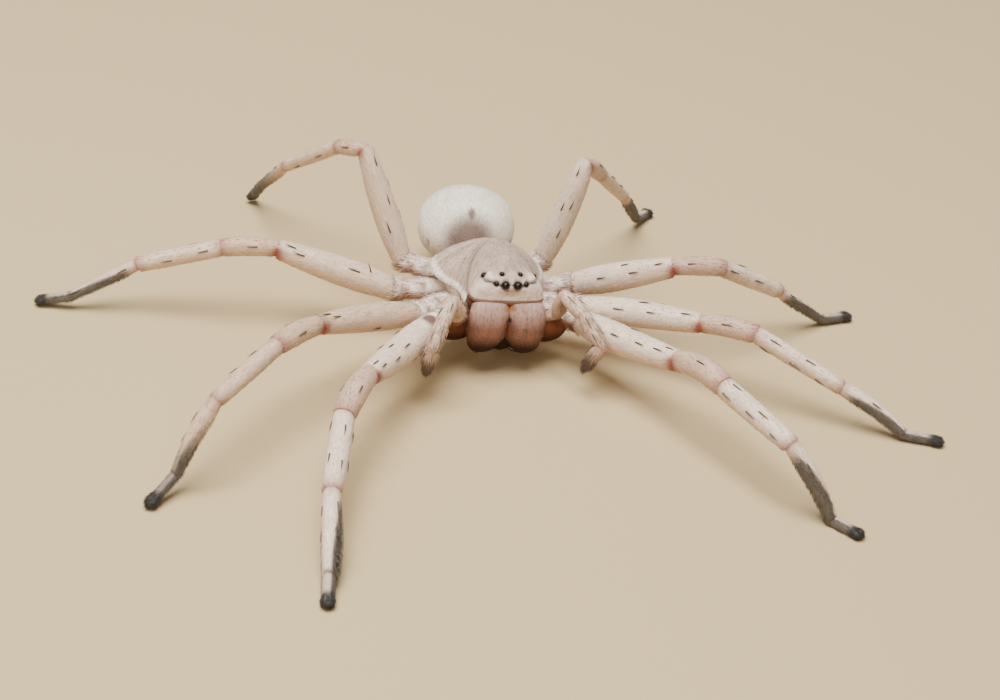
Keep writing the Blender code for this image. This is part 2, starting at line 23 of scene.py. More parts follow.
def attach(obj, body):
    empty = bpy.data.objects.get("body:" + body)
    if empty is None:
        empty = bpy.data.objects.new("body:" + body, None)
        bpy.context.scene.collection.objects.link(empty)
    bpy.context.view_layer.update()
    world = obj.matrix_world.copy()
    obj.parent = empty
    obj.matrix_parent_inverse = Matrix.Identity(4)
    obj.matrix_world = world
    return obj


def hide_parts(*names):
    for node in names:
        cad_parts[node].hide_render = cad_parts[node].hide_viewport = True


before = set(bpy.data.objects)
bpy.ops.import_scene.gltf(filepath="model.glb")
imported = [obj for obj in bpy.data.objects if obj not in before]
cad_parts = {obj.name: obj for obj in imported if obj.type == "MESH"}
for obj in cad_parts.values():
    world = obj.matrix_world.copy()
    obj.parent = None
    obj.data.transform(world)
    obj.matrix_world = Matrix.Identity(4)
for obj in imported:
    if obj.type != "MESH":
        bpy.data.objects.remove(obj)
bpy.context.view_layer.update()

Array = np.ndarray
Place = tuple[float, float, float]

MM = 0.001
FRAME_SHIFT = np.array([2.01, 4.86, 0.0])
UP = np.array([0.0, 0.0, 1.0])
LOG = logging.getLogger("spider")


class Tint(Enum):
    """The spider's colours, as sRGB hex codes; some are laid as painted light and shade."""

    HAIR_WHITE = "#F4DFCD"
    TUFT_WHITE = "#FFF3EA"
    HAIR_CREAM = "#DFC9B6"
    HAIR_BEIGE = "#CDB5A0"
    # LEG_UNDER is painted shade under the legs, and is also laid over right legs 2 to 4.
    LEG_UNDER = "#D2B394"
    PATELLA_PINK = "#C09A80"
    JOINT_PINK = "#B08072"
    MEMBRANE_RED = "#8A3A26"
    SCOPULA = "#554D46"
    TARSUS_GREY = "#A2958A"
    CLAW_BLACK = "#1C1715"
    SPINE_GREY = "#54483F"
    SHELL_BEIGE = "#C9B1A1"
    SHELL_STREAK = "#86705F"
    FACE_PINK = "#F9E5DA"
    EYE_PATCH = "#99604F"
    EYE_RING = "#33221B"
    BROW_LINE = "#5C463B"
    MEMBRANE_BROWN = "#77584A"
    MOUTH_BROWN = "#5A3320"
    MAXILLA_RED = "#734430"
    CLYPEUS_EDGE = "#7B523E"
    HINGE_ORANGE = "#9C6326"
    JAW_MAUVE = "#B4948A"
    JAW_BROWN = "#875F50"
    JAW_DARK = "#210903"
    ABDOMEN_CREAM = "#EFE8DA"
    # The abdomen's pink and its brown shade are painted shade on its lower part, its front and the
    # dip to the waist.
    ABDOMEN_PINK = "#CDB5A5"
    HEART_MARK = "#66544A"
    ABDOMEN_SHADE = "#6C5146"
    PALP_CREAM = "#D0B199"
    PALP_TIP = "#341A0E"
    COXA_RED = "#98634F"
    CORNEA_BLACK = "#0A0403"
    FANG_BROWN = "#2A0E08"

    @property
    def linear(self) -> Array:
        """The colour as three linear values."""
        return linear(self.value)


class Pile(Enum):
    """Kinds of hair: tufts to the square millimetre, length in mm and degrees off the skin."""

    LEG = (14.0, 0.42, 8.0)
    COXA = (26.0, 0.66, 20.0)
    HIP = (34.0, 0.85, 26.0)
    SOLE = (60.0, 0.38, 32.0)
    SOLE_BRUSH = (90.0, 0.66, 55.0)
    CLAW_TUFT = (100.0, 0.32, 26.0)
    LEG_SPOT = (0.0, 0.25, 8.0)
    PALP = (18.0, 0.52, 12.0)
    PALP_END = (26.0, 0.62, 18.0)
    SHELL = (18.0, 0.34, 8.0)
    SHELL_RIM = (48.0, 0.36, 9.0)
    FACE = (16.0, 0.20, 10.0)
    EYE_RIM = (0.0, 0.15, 8.0)
    ABDOMEN = (22.0, 0.36, 7.0)
    BELLY = (22.0, 0.6, 20.0)
    SPINNERET = (30.0, 0.4, 22.0)
    JAW = (8.0, 0.5, 9.0)
    JAW_END = (0.0, 0.3, 9.0)
    NONE = (0.0, 0.3, 10.0)


def linear(code: str) -> Array:
    """Turn an sRGB hex code, such as #F4DFCD, to linear red, green and blue."""
    values = np.array([int(code[i:i + 2], 16) / 255 for i in (1, 3, 5)])
    return np.where(values <= 0.04045, values / 12.92, ((values + 0.055) / 1.055) ** 2.4)


def unit(vectors: Array) -> Array:
    """Vectors at length one."""
    return vectors / np.maximum(np.linalg.norm(vectors, axis=-1, keepdims=True), 1e-9)


def distance(vectors: Array) -> Array:
    """How long vectors are."""
    return np.linalg.norm(vectors, axis=-1)


def places(x: Any, y: Any, z: Any) -> Array:
    """Points from their coordinates, spread over one grid."""
    return np.stack(np.broadcast_arrays(x, y, z), axis=-1)


def turns(count: int) -> tuple[Array, Array]:
    """Cosines and sines of even angles round a circle."""
    angle = math.tau * np.arange(count) / count
    return np.cos(angle), np.sin(angle)


def bump_at(gap: Array, width: float) -> Array:
    """A smooth weight, 1 at no distance, that fades over the width."""
    return np.exp(-(gap / width) ** 2)


def ramp(values: Array, low: float, high: float) -> Array:
    """A smooth weight that goes from 0 at low to 1 at high."""
    t = np.clip((values - low) / (high - low), 0, 1)
    return t * t * (3 - 2 * t)


def eased(x: Array, knots: Any, values: Any) -> Array:
    """Values between knots, on a smooth curve that doesn't overshoot them.

    Args:
        x: where to read the curve.
        knots: rising places where the values are known.
        values: the values there.

    Returns:
        The values at x.
    """
    knots, values = np.asarray(knots, float), np.asarray(values, float)
    width = np.diff(knots)
    slope = np.diff(values) / width
    product = slope[:-1] * slope[1:]
    total = np.where(product > 0, slope[:-1] + slope[1:], 1.0)
    inner = np.where(product > 0, 2 * product / total, 0.0)
    tangent = np.concatenate([slope[:1], inner, slope[-1:]])
    x = np.clip(x, knots[0], knots[-1])
    i = np.clip(np.searchsorted(knots, x, side="right") - 1, 0, len(width) - 1)
    t = (x - knots[i]) / width[i]
    start = (2 * t ** 3 - 3 * t ** 2 + 1) * values[i]
    end = (3 * t ** 2 - 2 * t ** 3) * values[i + 1]
    pull = (t ** 3 - 2 * t ** 2 + t) * tangent[i] + (t ** 3 - t ** 2) * tangent[i + 1]
    return start + end + pull * width[i]


def swell(t: Array, base: float, peak_at: float, tip: float) -> Array:
    """A limb's share of its full thickness at t, from its base to its tip.

    Args:
        t: how far along.
        base: the share at the start.
        peak_at: where it is fully thick.
        tip: the share at the end.

    Returns:
        The shares.
    """
    rising = base + (1 - base) * np.sin(math.pi / 2 * np.minimum(t / peak_at, 1))
    past = np.maximum((t - peak_at) / (1 - peak_at), 0)
    return np.where(t < peak_at, rising, tip + (1 - tip) * np.cos(math.pi / 2 * past))


def line_distance(points: Array, line: Any) -> Array:
    """How far points lie from a bent line.

    Args:
        points: places, the last axis their coordinates.
        line: the line's corners, in order.

    Returns:
        The distance of each place.
    """
    best = np.full(points.shape[:-1], np.inf)
    corners = np.asarray(line, float)
    for near, far in zip(corners, corners[1:]):
        step = far - near
        t = np.clip(((points - near) @ step) / (step @ step), 0, 1)
        best = np.minimum(best, distance(points - near - t[..., None] * step))
    return best


def hoops(centre: Array, half: Array, side: Array, rise: Array, columns: int) -> Array:
    """Rings of points round a line of centres.

    Args:
        centre: the rings' middles.
        half: each ring's radius, or its half width and half height.
        side: the way across the rings, one for all or one each.
        rise: the way up them.
        columns: how many points go round.

    Returns:
        Rows by columns of places.
    """
    half = half if half.ndim == 2 else np.stack([half, half], axis=1)
    ring = centre[:, None]
    for axis, share, wave in zip((side, rise), half.T, turns(columns)):
        axis = np.broadcast_to(axis, centre.shape)
        ring = ring + axis[:, None] * (wave[None, :, None] * share[:, None, None])
    return ring


@dataclass(frozen=True)
class BodyStance:
    """How the body leans about its long axis and turns, in degrees, and its pivot's height."""

    lean: float = 4.0
    turn: float = -3.0
    height: float = 5.0

    def turned(self, vectors: Array) -> Array:
        """Body directions turned as the stance turns them."""
        lean, turn = math.radians(self.lean), math.radians(self.turn)
        return vectors @ np.array(Matrix.Rotation(turn, 3, "Z") @ Matrix.Rotation(lean, 3, "Y")).T

    def place(self, points: Array) -> Array:
        """Body points moved to where the stance puts them."""
        return self.turned(points - self.height * UP) + self.height * UP


STANCE = BodyStance()


@dataclass
class Sheath:
    """A closed tube or dome of skin with the hair that it carries.

    The grids have one row for each ring along the form and one column for each place round
    it. lie holds places in the pattern's own frame, in millimetres, comb the way that hair
    points, pile the numbers of a Pile, and dark the share of dark hairs.
    """

    points: Array
    base: Tint
    lie: Array
    comb: Array

    def __post_init__(self) -> None:
        """Spread the colour and the comb over the grid, which has no hair yet."""
        shape = self.points.shape
        self.tint = np.broadcast_to(self.base.linear, shape)
        self.comb = np.broadcast_to(self.comb, shape)
        self.pile, self.dark = np.zeros(shape), np.zeros(shape[:2])

    def normals(self) -> Array:
        """Outward directions of the skin.

        Returns:
            One direction of length one for each place.
        """
        along = np.gradient(self.points, axis=0)
        around = np.roll(self.points, -1, axis=1) - np.roll(self.points, 1, axis=1)
        normals = unit(np.cross(around, along))
        outward = self.points - self.points.mean(axis=1, keepdims=True)
        return normals * (-1.0 if (normals * outward).sum() < 0 else 1.0)

    def lay(self, *layers: tuple[Tint, Array]) -> None:
        """Lay tints on the skin, one over the other.

        Args:
            layers: each tint with its weight from 0 to 1, for each ring or each place.
        """
        for tint, weight in layers:
            share = np.clip(weight, 0, 1)[..., None]
            self.tint = self.tint * (1 - share) + tint.linear * share

    def hair(self, *growths: tuple[Pile, Any]) -> None:
        """Give the skin hair, one kind over the other.

        Args:
            growths: each kind with its weight from 0 to 1, for all, each ring or each place.
        """
        for pile, weight in growths:
            share = np.clip(np.asarray(weight, float), 0, 1)[..., None]
            self.pile = self.pile + (np.array(pile.value) - self.pile) * share

    def posed(self) -> Sheath:
        """The sheath, moved and turned as the body stands."""
        self.points, self.comb = STANCE.place(self.points), STANCE.turned(self.comb)
        return self


@dataclass
class Soup:
    """Points and faces gathered for one mesh, with their colours and pattern places."""

    gathered: dict[str, list[Array]] = field(default_factory=lambda: defaultdict(list))
    count: int = 0

    @classmethod
    def of(cls, *sheaths: Sheath) -> Soup:
        """A mesh of whole sheaths, each with a fan over both of its ends.

        Args:
            sheaths: the forms.

        Returns:
            The gathered mesh.
        """
        soup = cls()
        for sheath in sheaths:
            soup.add_sheath(sheath)
        return soup

    def add(self, quads: Array, triangles: Array, **values: Array) -> None:
        """Take in points with the faces that join them.

        Args:
            quads: four point numbers a face.
            triangles: three point numbers a face.
            values: points in millimetres, tint, lie and, for hair, spots on the unwrap.
        """
        self.gathered["quads"].append(quads.reshape(-1, 4) + self.count)
        self.gathered["triangles"].append(triangles.reshape(-1, 3) + self.count)
        for key, value in values.items():
            self.gathered[key].append(value.reshape(-1, value.shape[-1]))
        self.count += values["points"].size // 3

    def add_sheath(self, sheath: Sheath) -> None:
        """Take in a sheath's grid, with a fan over each end.

        Args:
            sheath: the form.
        """
        rows, columns = sheath.points.shape[:2]
        number = np.arange(rows * columns).reshape(rows, columns)
        after = np.roll(number, -1, axis=1)
        quads = np.stack([number[:-1], after[:-1], after[1:], number[1:]], axis=-1)
        hubs = np.repeat([[rows * columns], [rows * columns + 1]], columns, axis=1)
        fans = np.stack([[after[0], number[-1]], [number[0], after[-1]], hubs], axis=-1)
        grids = {"points": sheath.points, "tint": sheath.tint, "lie": sheath.lie}
        self.add(quads, fans, **{
            key: np.vstack([grid.reshape(-1, 3), grid[[0, -1]].mean(axis=1)])
            for key, grid in grids.items()})

    def make(self, name: str, material: bpy.types.Material) -> bpy.types.Object:
        """Make the mesh object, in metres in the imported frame.

        Args:
            name: the piece's name.
            material: its finish.

        Returns:
            The object, linked to the scene.
        """
        whole = {key: np.concatenate(rows) for key, rows in self.gathered.items()}
        quads, triangles, tint = whole["quads"], whole["triangles"], whole["tint"]
        corners = np.concatenate([quads.ravel(), triangles.ravel()]).astype(np.int32)
        sizes = np.repeat([4, 3], [len(quads), len(triangles)])
        mesh = bpy.data.meshes.new(name)
        mesh.vertices.add(self.count)
        points = (whole["points"] + FRAME_SHIFT) * MM
        mesh.vertices.foreach_set("co", points.astype(np.float32).ravel())
        mesh.loops.add(len(corners))
        mesh.loops.foreach_set("vertex_index", corners)
        mesh.polygons.add(len(sizes))
        mesh.polygons.foreach_set("loop_start", (np.cumsum(sizes) - sizes).astype(np.int32))
        mesh.update(calc_edges=True)
        mesh.shade_smooth()
        for key, kind, part, values in (
                ("tint", "FLOAT_COLOR", "color", np.column_stack([tint, np.ones(len(tint))])),
                ("lie", "FLOAT_VECTOR", "vector", whole["lie"])):
            layer = mesh.attributes.new(key, kind, "POINT")
            layer.data.foreach_set(part, values.astype(np.float32).ravel())
        if "spots" in whole:
            spots = whole["spots"][corners].astype(np.float32)
            mesh.uv_layers.new(name="OFBake").data.foreach_set("uv", spots.ravel())
        mesh.materials.append(material)
        LOG.info("%s: %d points, %d faces", name, self.count, len(sizes))
        return add_object(name, mesh)


@dataclass
class Coat:
    """Fine short hair: flat tapered tufts rooted in a sheath's skin.

    Real hairs lie about 0.03 mm apart, too fine to model, so each tuft is a bundle of them.
    A tuft has three corners at its base, three at its middle and a tip.
    """

    width: float = 0.055
    root: float = 0.05
    wander: float = 10.0
    middle_at: float = 0.45
    dark_shade: float = 0.4
    seed: int = 11
    floor: float = 0.01
    section: tuple[tuple[float, float], ...] = ((-0.5, 0), (0.5, 0), (0, 0.45))
    quads: tuple[tuple[int, ...], ...] = ((0, 1, 4, 3), (1, 2, 5, 4), (2, 0, 3, 5))
    triangles: tuple[tuple[int, ...], ...] = ((3, 4, 6), (4, 5, 6), (5, 3, 6))
    spot: tuple[tuple[int, int], ...] = (
        (-1, -1), (1, -1), (0, -1), (-1, 0), (1, 0), (0, 0), (0, 1))
    spot_size: float = 0.0015
    spot_margin: float = 0.004

    def grow(self, name: str, sheaths: list[Sheath]) -> Soup:
        """Plant the tufts of one coat piece.

        Args:
            name: the piece's name.
            sheaths: the forms that carry the hair, each with its own band of the unwrap.

        Returns:
            The tufts.
        """
        soup = Soup()
        random = np.random.default_rng(self.seed + sum(map(ord, name)))
        for index, sheath in enumerate(sheaths):
            self.plant(soup, sheath, random, index, len(sheaths))
        return soup

    def plant(self, soup: Soup, sheath: Sheath, random: np.random.Generator, index: int,
              total: int) -> None:
        """Plant one sheath's tufts.

        Args:
            soup: the mesh being gathered.
            sheath: the form that carries them.
            random: the seeded source of chance.
            index: which band of the unwrap is this sheath's.
            total: how many bands there are.
        """
        points = sheath.points
        rows, columns = points.shape[:2]
        around = (np.roll(points, -1, axis=1) - points)[:-1]
        area = distance(np.cross(points[1:] - points[:-1], around))
        wanted = area * sheath.pile[:-1, :, 0]
        number = int(wanted.sum())
        cell = random.choice(wanted.size, size=number, p=wanted.ravel() / wanted.sum())
        row, column = np.divmod(cell, columns)
        s, t = random.random(number), random.random(number)
        after = (column + 1) % columns

        def read(grid: Array) -> Array:
            """A grid's value at each root."""
            a, b = (s, t) if grid.ndim == 2 else (s[:, None], t[:, None])
            low, high = (
                grid[ring, column] * (1 - b) + grid[ring, after] * b for ring in (row, row + 1))
            return low * (1 - a) + high * a

        def chance(low: float, high: float) -> Array:
            """A factor for each tuft, as a column."""
            return random.uniform(low, high, number)[:, None]

        root, normal, comb = read(points), unit(read(sheath.normals())), read(sheath.comb)
        _, long, slope = np.split(read(sheath.pile), 3, axis=1)
        comb = unit(comb - (comb * normal).sum(-1, keepdims=True) * normal)
        turn = np.radians(random.normal(0, self.wander, number))[:, None]
        comb = comb * np.cos(turn) + np.cross(normal, comb) * np.sin(turn)
        across = np.cross(normal, comb)
        stand = np.radians(slope * chance(0.6, 1.5))
        length = long * chance(0.65, 1.2)
        width = self.width * chance(0.7, 1.25) * (0.5 + length)
        aim = comb * np.cos(stand) + normal * np.sin(stand)
        ease = comb * np.cos(stand * 0.4) + normal * np.sin(stand * 0.4)
        middle = root + aim * length * self.middle_at
        tip = middle + ease * length * (1 - self.middle_at)
        tuft = np.stack([*(
            centre + (across * sideways + normal * outward) * width * wide
            for centre, wide in ((root - normal * self.root, 1.0), (middle, 0.8))
            for sideways, outward in self.section), tip], axis=1)
        tuft[..., 2] = np.maximum(tuft[..., 2], self.floor)
        shade = random.normal(1.0, 0.035, number)
        shade = shade * np.where(random.random(number) < read(sheath.dark), self.dark_shade, 1.0)
        tint = np.clip(read(sheath.tint) * shade[:, None], 0, 1)
        corners = tuft.shape[1]
        start = (np.arange(number) * corners)[:, None, None]
        place = np.stack(
            [(column + t) / columns, (index + (row + s) / rows) / total], axis=-1)[:, None]
        spots = self.spot_margin + (1 - 2 * self.spot_margin) * place
        soup.add(
            np.array(self.quads) + start, np.array(self.triangles) + start, points=tuft,
            tint=np.repeat(tint[:, None], corners, axis=1),
            lie=np.repeat(read(sheath.lie)[:, None], corners, axis=1),
            spots=spots + np.array(self.spot) * self.spot_size)


class Side(Enum):
    """Which side of the body a limb is on."""

    LEFT = "l"
    RIGHT = "r"

    @property
    def hand(self) -> int:
        """1 on the left, where x is positive, and -1 on the right."""
        return 1 if self is Side.LEFT else -1

    def mirrored(self, point: Place) -> Array:
        """A left-hand point on this side."""
        return np.array([self.hand * point[0], point[1], point[2]])


@dataclass
class Limb:
    """A jointed limb as one smooth tube, its rings fanned where it bends."""

    side: Side
    joints: Array
    columns: int = 28
    spacing: float = 0.16
    fan_reach: float = 2.6
    least_rings: int = 4

    def __post_init__(self) -> None:
        """Share out the rings: part is each ring's segment, t how far along it the ring is."""
        steps = np.diff(self.joints, axis=0)
        self.aims, lengths = unit(steps), distance(steps)
        shares = [np.linspace(0, 1, max(self.least_rings, round(length / self.spacing)) + 1)[:-1]
                  for length in lengths]
        shares[-1] = np.append(shares[-1], 1.0)
        self.part = np.repeat(np.arange(len(shares)), [len(share) for share in shares])
        self.t, self.length = np.concatenate(shares), lengths[self.part]
        self.marks = np.append(0, np.cumsum(lengths))
        self.run = self.marks[self.part] + self.t * self.length

    def build(self, half: Array, bows: tuple[float, ...]) -> None:
        """Lay the rings along the joints.

        Args:
            half: half width of each ring, or width and height, in millimetres.
            bows: how far each segment arches up at its middle.
        """
        self.half = half if half.ndim == 2 else np.stack([half, half], axis=1)
        part, t, length = self.part, self.t[:, None], self.length[:, None]
        bow = np.array(bows)[part, None]
        middle = unit(self.aims[:-1] + self.aims[1:])
        planes = np.vstack([self.aims[:1], middle, self.aims[-1:]])
        aim = self.aims[part]
        rise = np.cross(unit(np.cross(aim, UP)), aim)
        self.centre = self.joints[part] + aim * length * t + rise * np.sin(math.pi * t) * bow
        reach = np.maximum(self.half[:, :1], 0.02) * self.fan_reach
        for plane, gone in ((planes[part], t), (planes[part + 1], 1 - t)):
            share = np.maximum(0, 1 - gone * length / reach)
            aim = unit(aim * (1 - share) + plane * share)
        aim = unit(aim + rise * np.cos(math.pi * t) * math.pi * bow / length)
        side = unit(np.cross(aim, UP))
        self.points = hoops(self.centre, self.half, side, np.cross(side, aim), self.columns)

    def near_joint(self, width: float) -> Array:
        """A weight for each ring, 1 at every inner joint, that fades over the width."""
        last = self.part.max()
        before = np.where(self.part > 0, self.t, np.inf)
        after = np.where(self.part < last, 1 - self.t, np.inf)
        return bump_at(np.minimum(before, after) * self.length, width)

    def at_joint(self, before: int, width: float, offset: float = 0.0) -> Array:
        """A weight for the rings round one joint, as a column.

        Args:
            before: the segment that ends there.
            width: how wide the ring is, in millimetres.
            offset: how far past the joint its middle is.

        Returns:
            One weight a ring.
        """
        return bump_at(self.run - self.marks[before + 1] - offset, width)[:, None]

    def row_at(self, part: int, share: float) -> int:
        """The ring that lies a share of the way along a segment."""
        rows = np.flatnonzero(self.part == part)
        return rows[min(len(rows) - 1, int(share * len(rows)))]

    def outward(self, part: int, turn: float) -> Array:
        """A direction off a segment.

        Args:
            part: the segment.
            turn: degrees from the top towards the limb's front.

        Returns:
            The direction.
        """
        side, turned = unit(np.cross(self.aims[part], UP)), math.radians(turn)
        rise = np.cross(side, self.aims[part])
        return rise * math.cos(turned) + side * self.side.hand * math.sin(turned)

    def spot(self, part: int, share: float, turn: float, size: float) -> Array:
        """A round patch on the limb's skin.

        Args:
            part: the segment it is on.
            share: how far along the segment.
            turn: degrees from the top towards the limb's front.
            size: its reach, in millimetres.

        Returns:
            A weight for each point of the skin, 1 in the patch's middle.
        """
        row = self.row_at(part, share)
        place = self.centre[row] + self.outward(part, turn) * self.half[row, 0]
        return bump_at(distance(self.points - place), size)

    def skin(self, points: Array, base: Tint, shift: Place) -> tuple[Sheath, Array]:
        """The limb's skin, combed towards its tip.

        Args:
            points: its places.
            base: its colour.
            shift: where its pattern lies.

        Returns:
            The sheath, and how far up each place of it faces, from -1 to 1.
        """
        cosine, sine = turns(self.columns)
        half = self.half[:, :1]
        lie = places(half * cosine, half * sine, self.run[:, None]) + np.array(shift)
        sheath = Sheath(points, base, lie, self.aims[self.part][:, None])
        return sheath, unit(points - self.centre[:, None])[..., 2]


# Each leg's femur, patella, tibia, metatarsus and tarsus, from the front pair to the rear.
LENGTHS = {
    1: (12.4, 5.9, 8.5, 7.5, 3.1),
    2: (12.1, 5.2, 9.1, 7.0, 3.6),
    3: (11.6, 5.1, 8.2, 7.0, 3.4),
    4: (11.2, 4.5, 9.2, 7.8, 3.3),
}
WIDTHS = {
    1: (2.95, 2.36, 2.10, 1.70, 1.22),
    2: (2.75, 2.15, 1.78, 1.58, 1.12),
    3: (2.85, 1.95, 1.80, 1.35, 1.15),
    4: (2.60, 1.70, 1.46, 1.20, 1.05),
}
# How far each segment from the coxa to the tarsus arches up.
BOWS = {
    1: (0.0, -0.25, 0.60, 0.0, 0.30, 0.0),
    2: (0.0, 0.15, 0.25, 0.0, 0.30, 0.0),
    3: (0.0, 0.0, 0.20, 0.0, 0.0, 0.0),
    4: (0.0, -0.10, 0.05, 0.0, 0.0, 0.0),
}
ROOTS = {1: (3.1, -2.0, 4.1), 2: (3.5, 0.0, 4.0), 3: (3.4, 1.9, 4.0), 4: (2.8, 3.7, 4.1)}
# Each leg's hip, then its segments' headings and slopes in degrees; the tarsus reaches down.
STANCES = {
    (1, Side.LEFT): ((7.1, -5.7, 4.65), (62, 67, 66, 45, 56), (9.4, 6, -7.4, -51)),
    (2, Side.LEFT): ((7.9, -3.0, 4.35), (37, 40, 36, 34, 25), (9.2, 7, -20, -27)),
    (3, Side.LEFT): ((8.75, 1.85, 3.85), (45, -4, -13, -10, -8), (29.2, -7.2, -29, -37)),
    (4, Side.LEFT): ((7.0, 6.1, 4.10), (6.5, -45.4, -48, -52, -45.4), (73, -37, -38.2, -43)),
    (1, Side.RIGHT): ((-7.1, -5.7, 5.30), (50, 57, 72, 78, 76), (6.5, -6, -12, -25)),
    (2, Side.RIGHT): ((-8.0, -3.15, 4.95), (29, 35, 45.8, 31.5, 39), (15.1, 1, -4.8, -53.6)),
    (3, Side.RIGHT): (
        (-8.5, 2.4, 4.20), (-16.6, -13, -15, -6.3, -19), (16.4, -2.2, -17.8, -29.3)),
    (4, Side.RIGHT): (
        (-6.95, 5.9, 5.15), (-48.5, -67.5, -60, -77.7, -74), (63, -20, -35.8, -42)),
}


class Segment(IntEnum):
    """A leg's segments, from the body out."""

    COXA = 0
    FEMUR = 1
    PATELLA = 2
    TIBIA = 3
    METATARSUS = 4
    TARSUS = 5


# The spines of each leg's femur, patella, tibia and metatarsus: how far along each stands,
# and its turn in degrees from the top towards the leg's front.
HIND_ROW = ((0.20, 50), (0.24, -55), (0.48, 62), (0.52, -70))
SPINE_PLACES = {
    (1, Side.LEFT): (
        ((0.43, 45), (0.52, -15), (0.66, 40), (0.83, 35), (0.90, 10), (0.35, -55), (0.62, -60)),
        ((0.54, 30), (0.48, -70)),
        ((0.12, 5), (0.10, 80), (0.56, 25), (0.44, 65), (0.80, 75), (0.20, -75), (0.60, -80)),
        ((0.27, 35), (0.22, -70), (0.55, -85))),
    (2, Side.LEFT): (
        ((0.34, 50), (0.52, 0), (0.60, 50), (0.86, 20), (0.30, -50), (0.62, -55)),
        ((0.44, 50), (0.48, -70)),
        ((0.17, 40), (0.12, 125), (0.57, 25), (0.45, 105), (0.75, 110), (0.25, -75), (0.62, -80)),
        ((0.45, 35), (0.25, 100), (0.22, -70), (0.55, -85))),
    (3, Side.LEFT): (
        ((0.36, 65), (0.57, 25), (0.66, 65), (0.90, 40), (0.30, -50), (0.62, -55)),
        ((0.24, 45), (0.48, -70)),
        ((0.06, 70), (0.50, 65), (0.24, -10), (0.25, -80), (0.62, -85)),
        HIND_ROW),
    (4, Side.LEFT): (
        ((0.57, 45), (0.61, 80), (0.32, 85), (0.90, 40), (0.30, -50), (0.62, -60)),
        ((0.46, 55), (0.50, -55)),
        ((0.24, 50), (0.26, -50), (0.58, 58), (0.55, -45)),
        HIND_ROW),
    (1, Side.RIGHT): (
        ((0.64, 0), (0.52, 40), (0.70, 55), (0.88, 40), (0.92, 10), (0.35, -55), (0.60, -65)),
        ((0.58, 35), (0.50, -80)),
        ((0.16, -65), (0.24, 20), (0.62, -40), (0.68, 30), (0.22, 100), (0.60, 105)),
        ((0.21, 35), (0.53, 30), (0.24, -70), (0.55, -80))),
    (2, Side.RIGHT): (
        ((0.86, 30), (0.93, 5), (0.35, -50), (0.62, -60), (0.45, 110)),
        ((0.46, -60), (0.50, 60)),
        ((0.26, -50), (0.55, -60)),
        ((0.55, 95), (0.80, 85), (0.24, -60), (0.52, -75))),
    (3, Side.RIGHT): (
        ((0.88, 25), (0.80, 50), (0.34, 40), (0.35, -55), (0.62, -60)),
        ((0.40, 65), (0.50, -60)),
        ((0.16, 65), (0.60, 80), (0.26, -50), (0.55, -60)),
        ((0.45, 65), (0.87, 40), (0.18, 55), (0.24, -60), (0.52, -75))),
    (4, Side.RIGHT): (
        ((0.88, 10), (0.53, 20), (0.31, 55), (0.35, -60), (0.62, -65)),
        ((0.45, 70), (0.50, -60)),
        ((0.27, 105), (0.71, 130), (0.26, -50), (0.55, -60)),
        HIND_ROW),
}


@dataclass(frozen=True)
class Spine:
    """One kind of tapered spine that leans out of the skin and straightens along it."""

    width: float
    slope: float
    bend: float = 0.05
    columns: int = 6
    floor: float = 0.01
    stations: tuple[float, ...] = (-0.12, 0.0, 0.35, 0.7, 1.0)
    taper: tuple[float, ...] = (1.0, 1.1, 0.95, 0.6, 0.12)

    def add(self, soup: Soup, root: Array, along: Array, out: Array, length: float) -> None:
        """Add one spine.

        Args:
            soup: the mesh being gathered.
            root: where it leaves the skin.
            along: the way that the limb runs.
            out: the skin's outward direction.
            length: its length.
        """
        tilt = math.radians(self.slope)
        aim = along * math.cos(tilt) + out * math.sin(tilt)
        across, share = unit(np.cross(aim, out)), np.array(self.stations)[:, None]
        centre = root + length * (aim * share - out * self.bend * np.maximum(share, 0) ** 2)
        half = np.array(self.taper) * self.width / 2
        points = hoops(centre, half, across, np.cross(across, aim), self.columns)
        points[..., 2] = np.maximum(points[..., 2], self.floor)
        soup.add_sheath(Sheath(points, Tint.SPINE_GREY, points, aim))


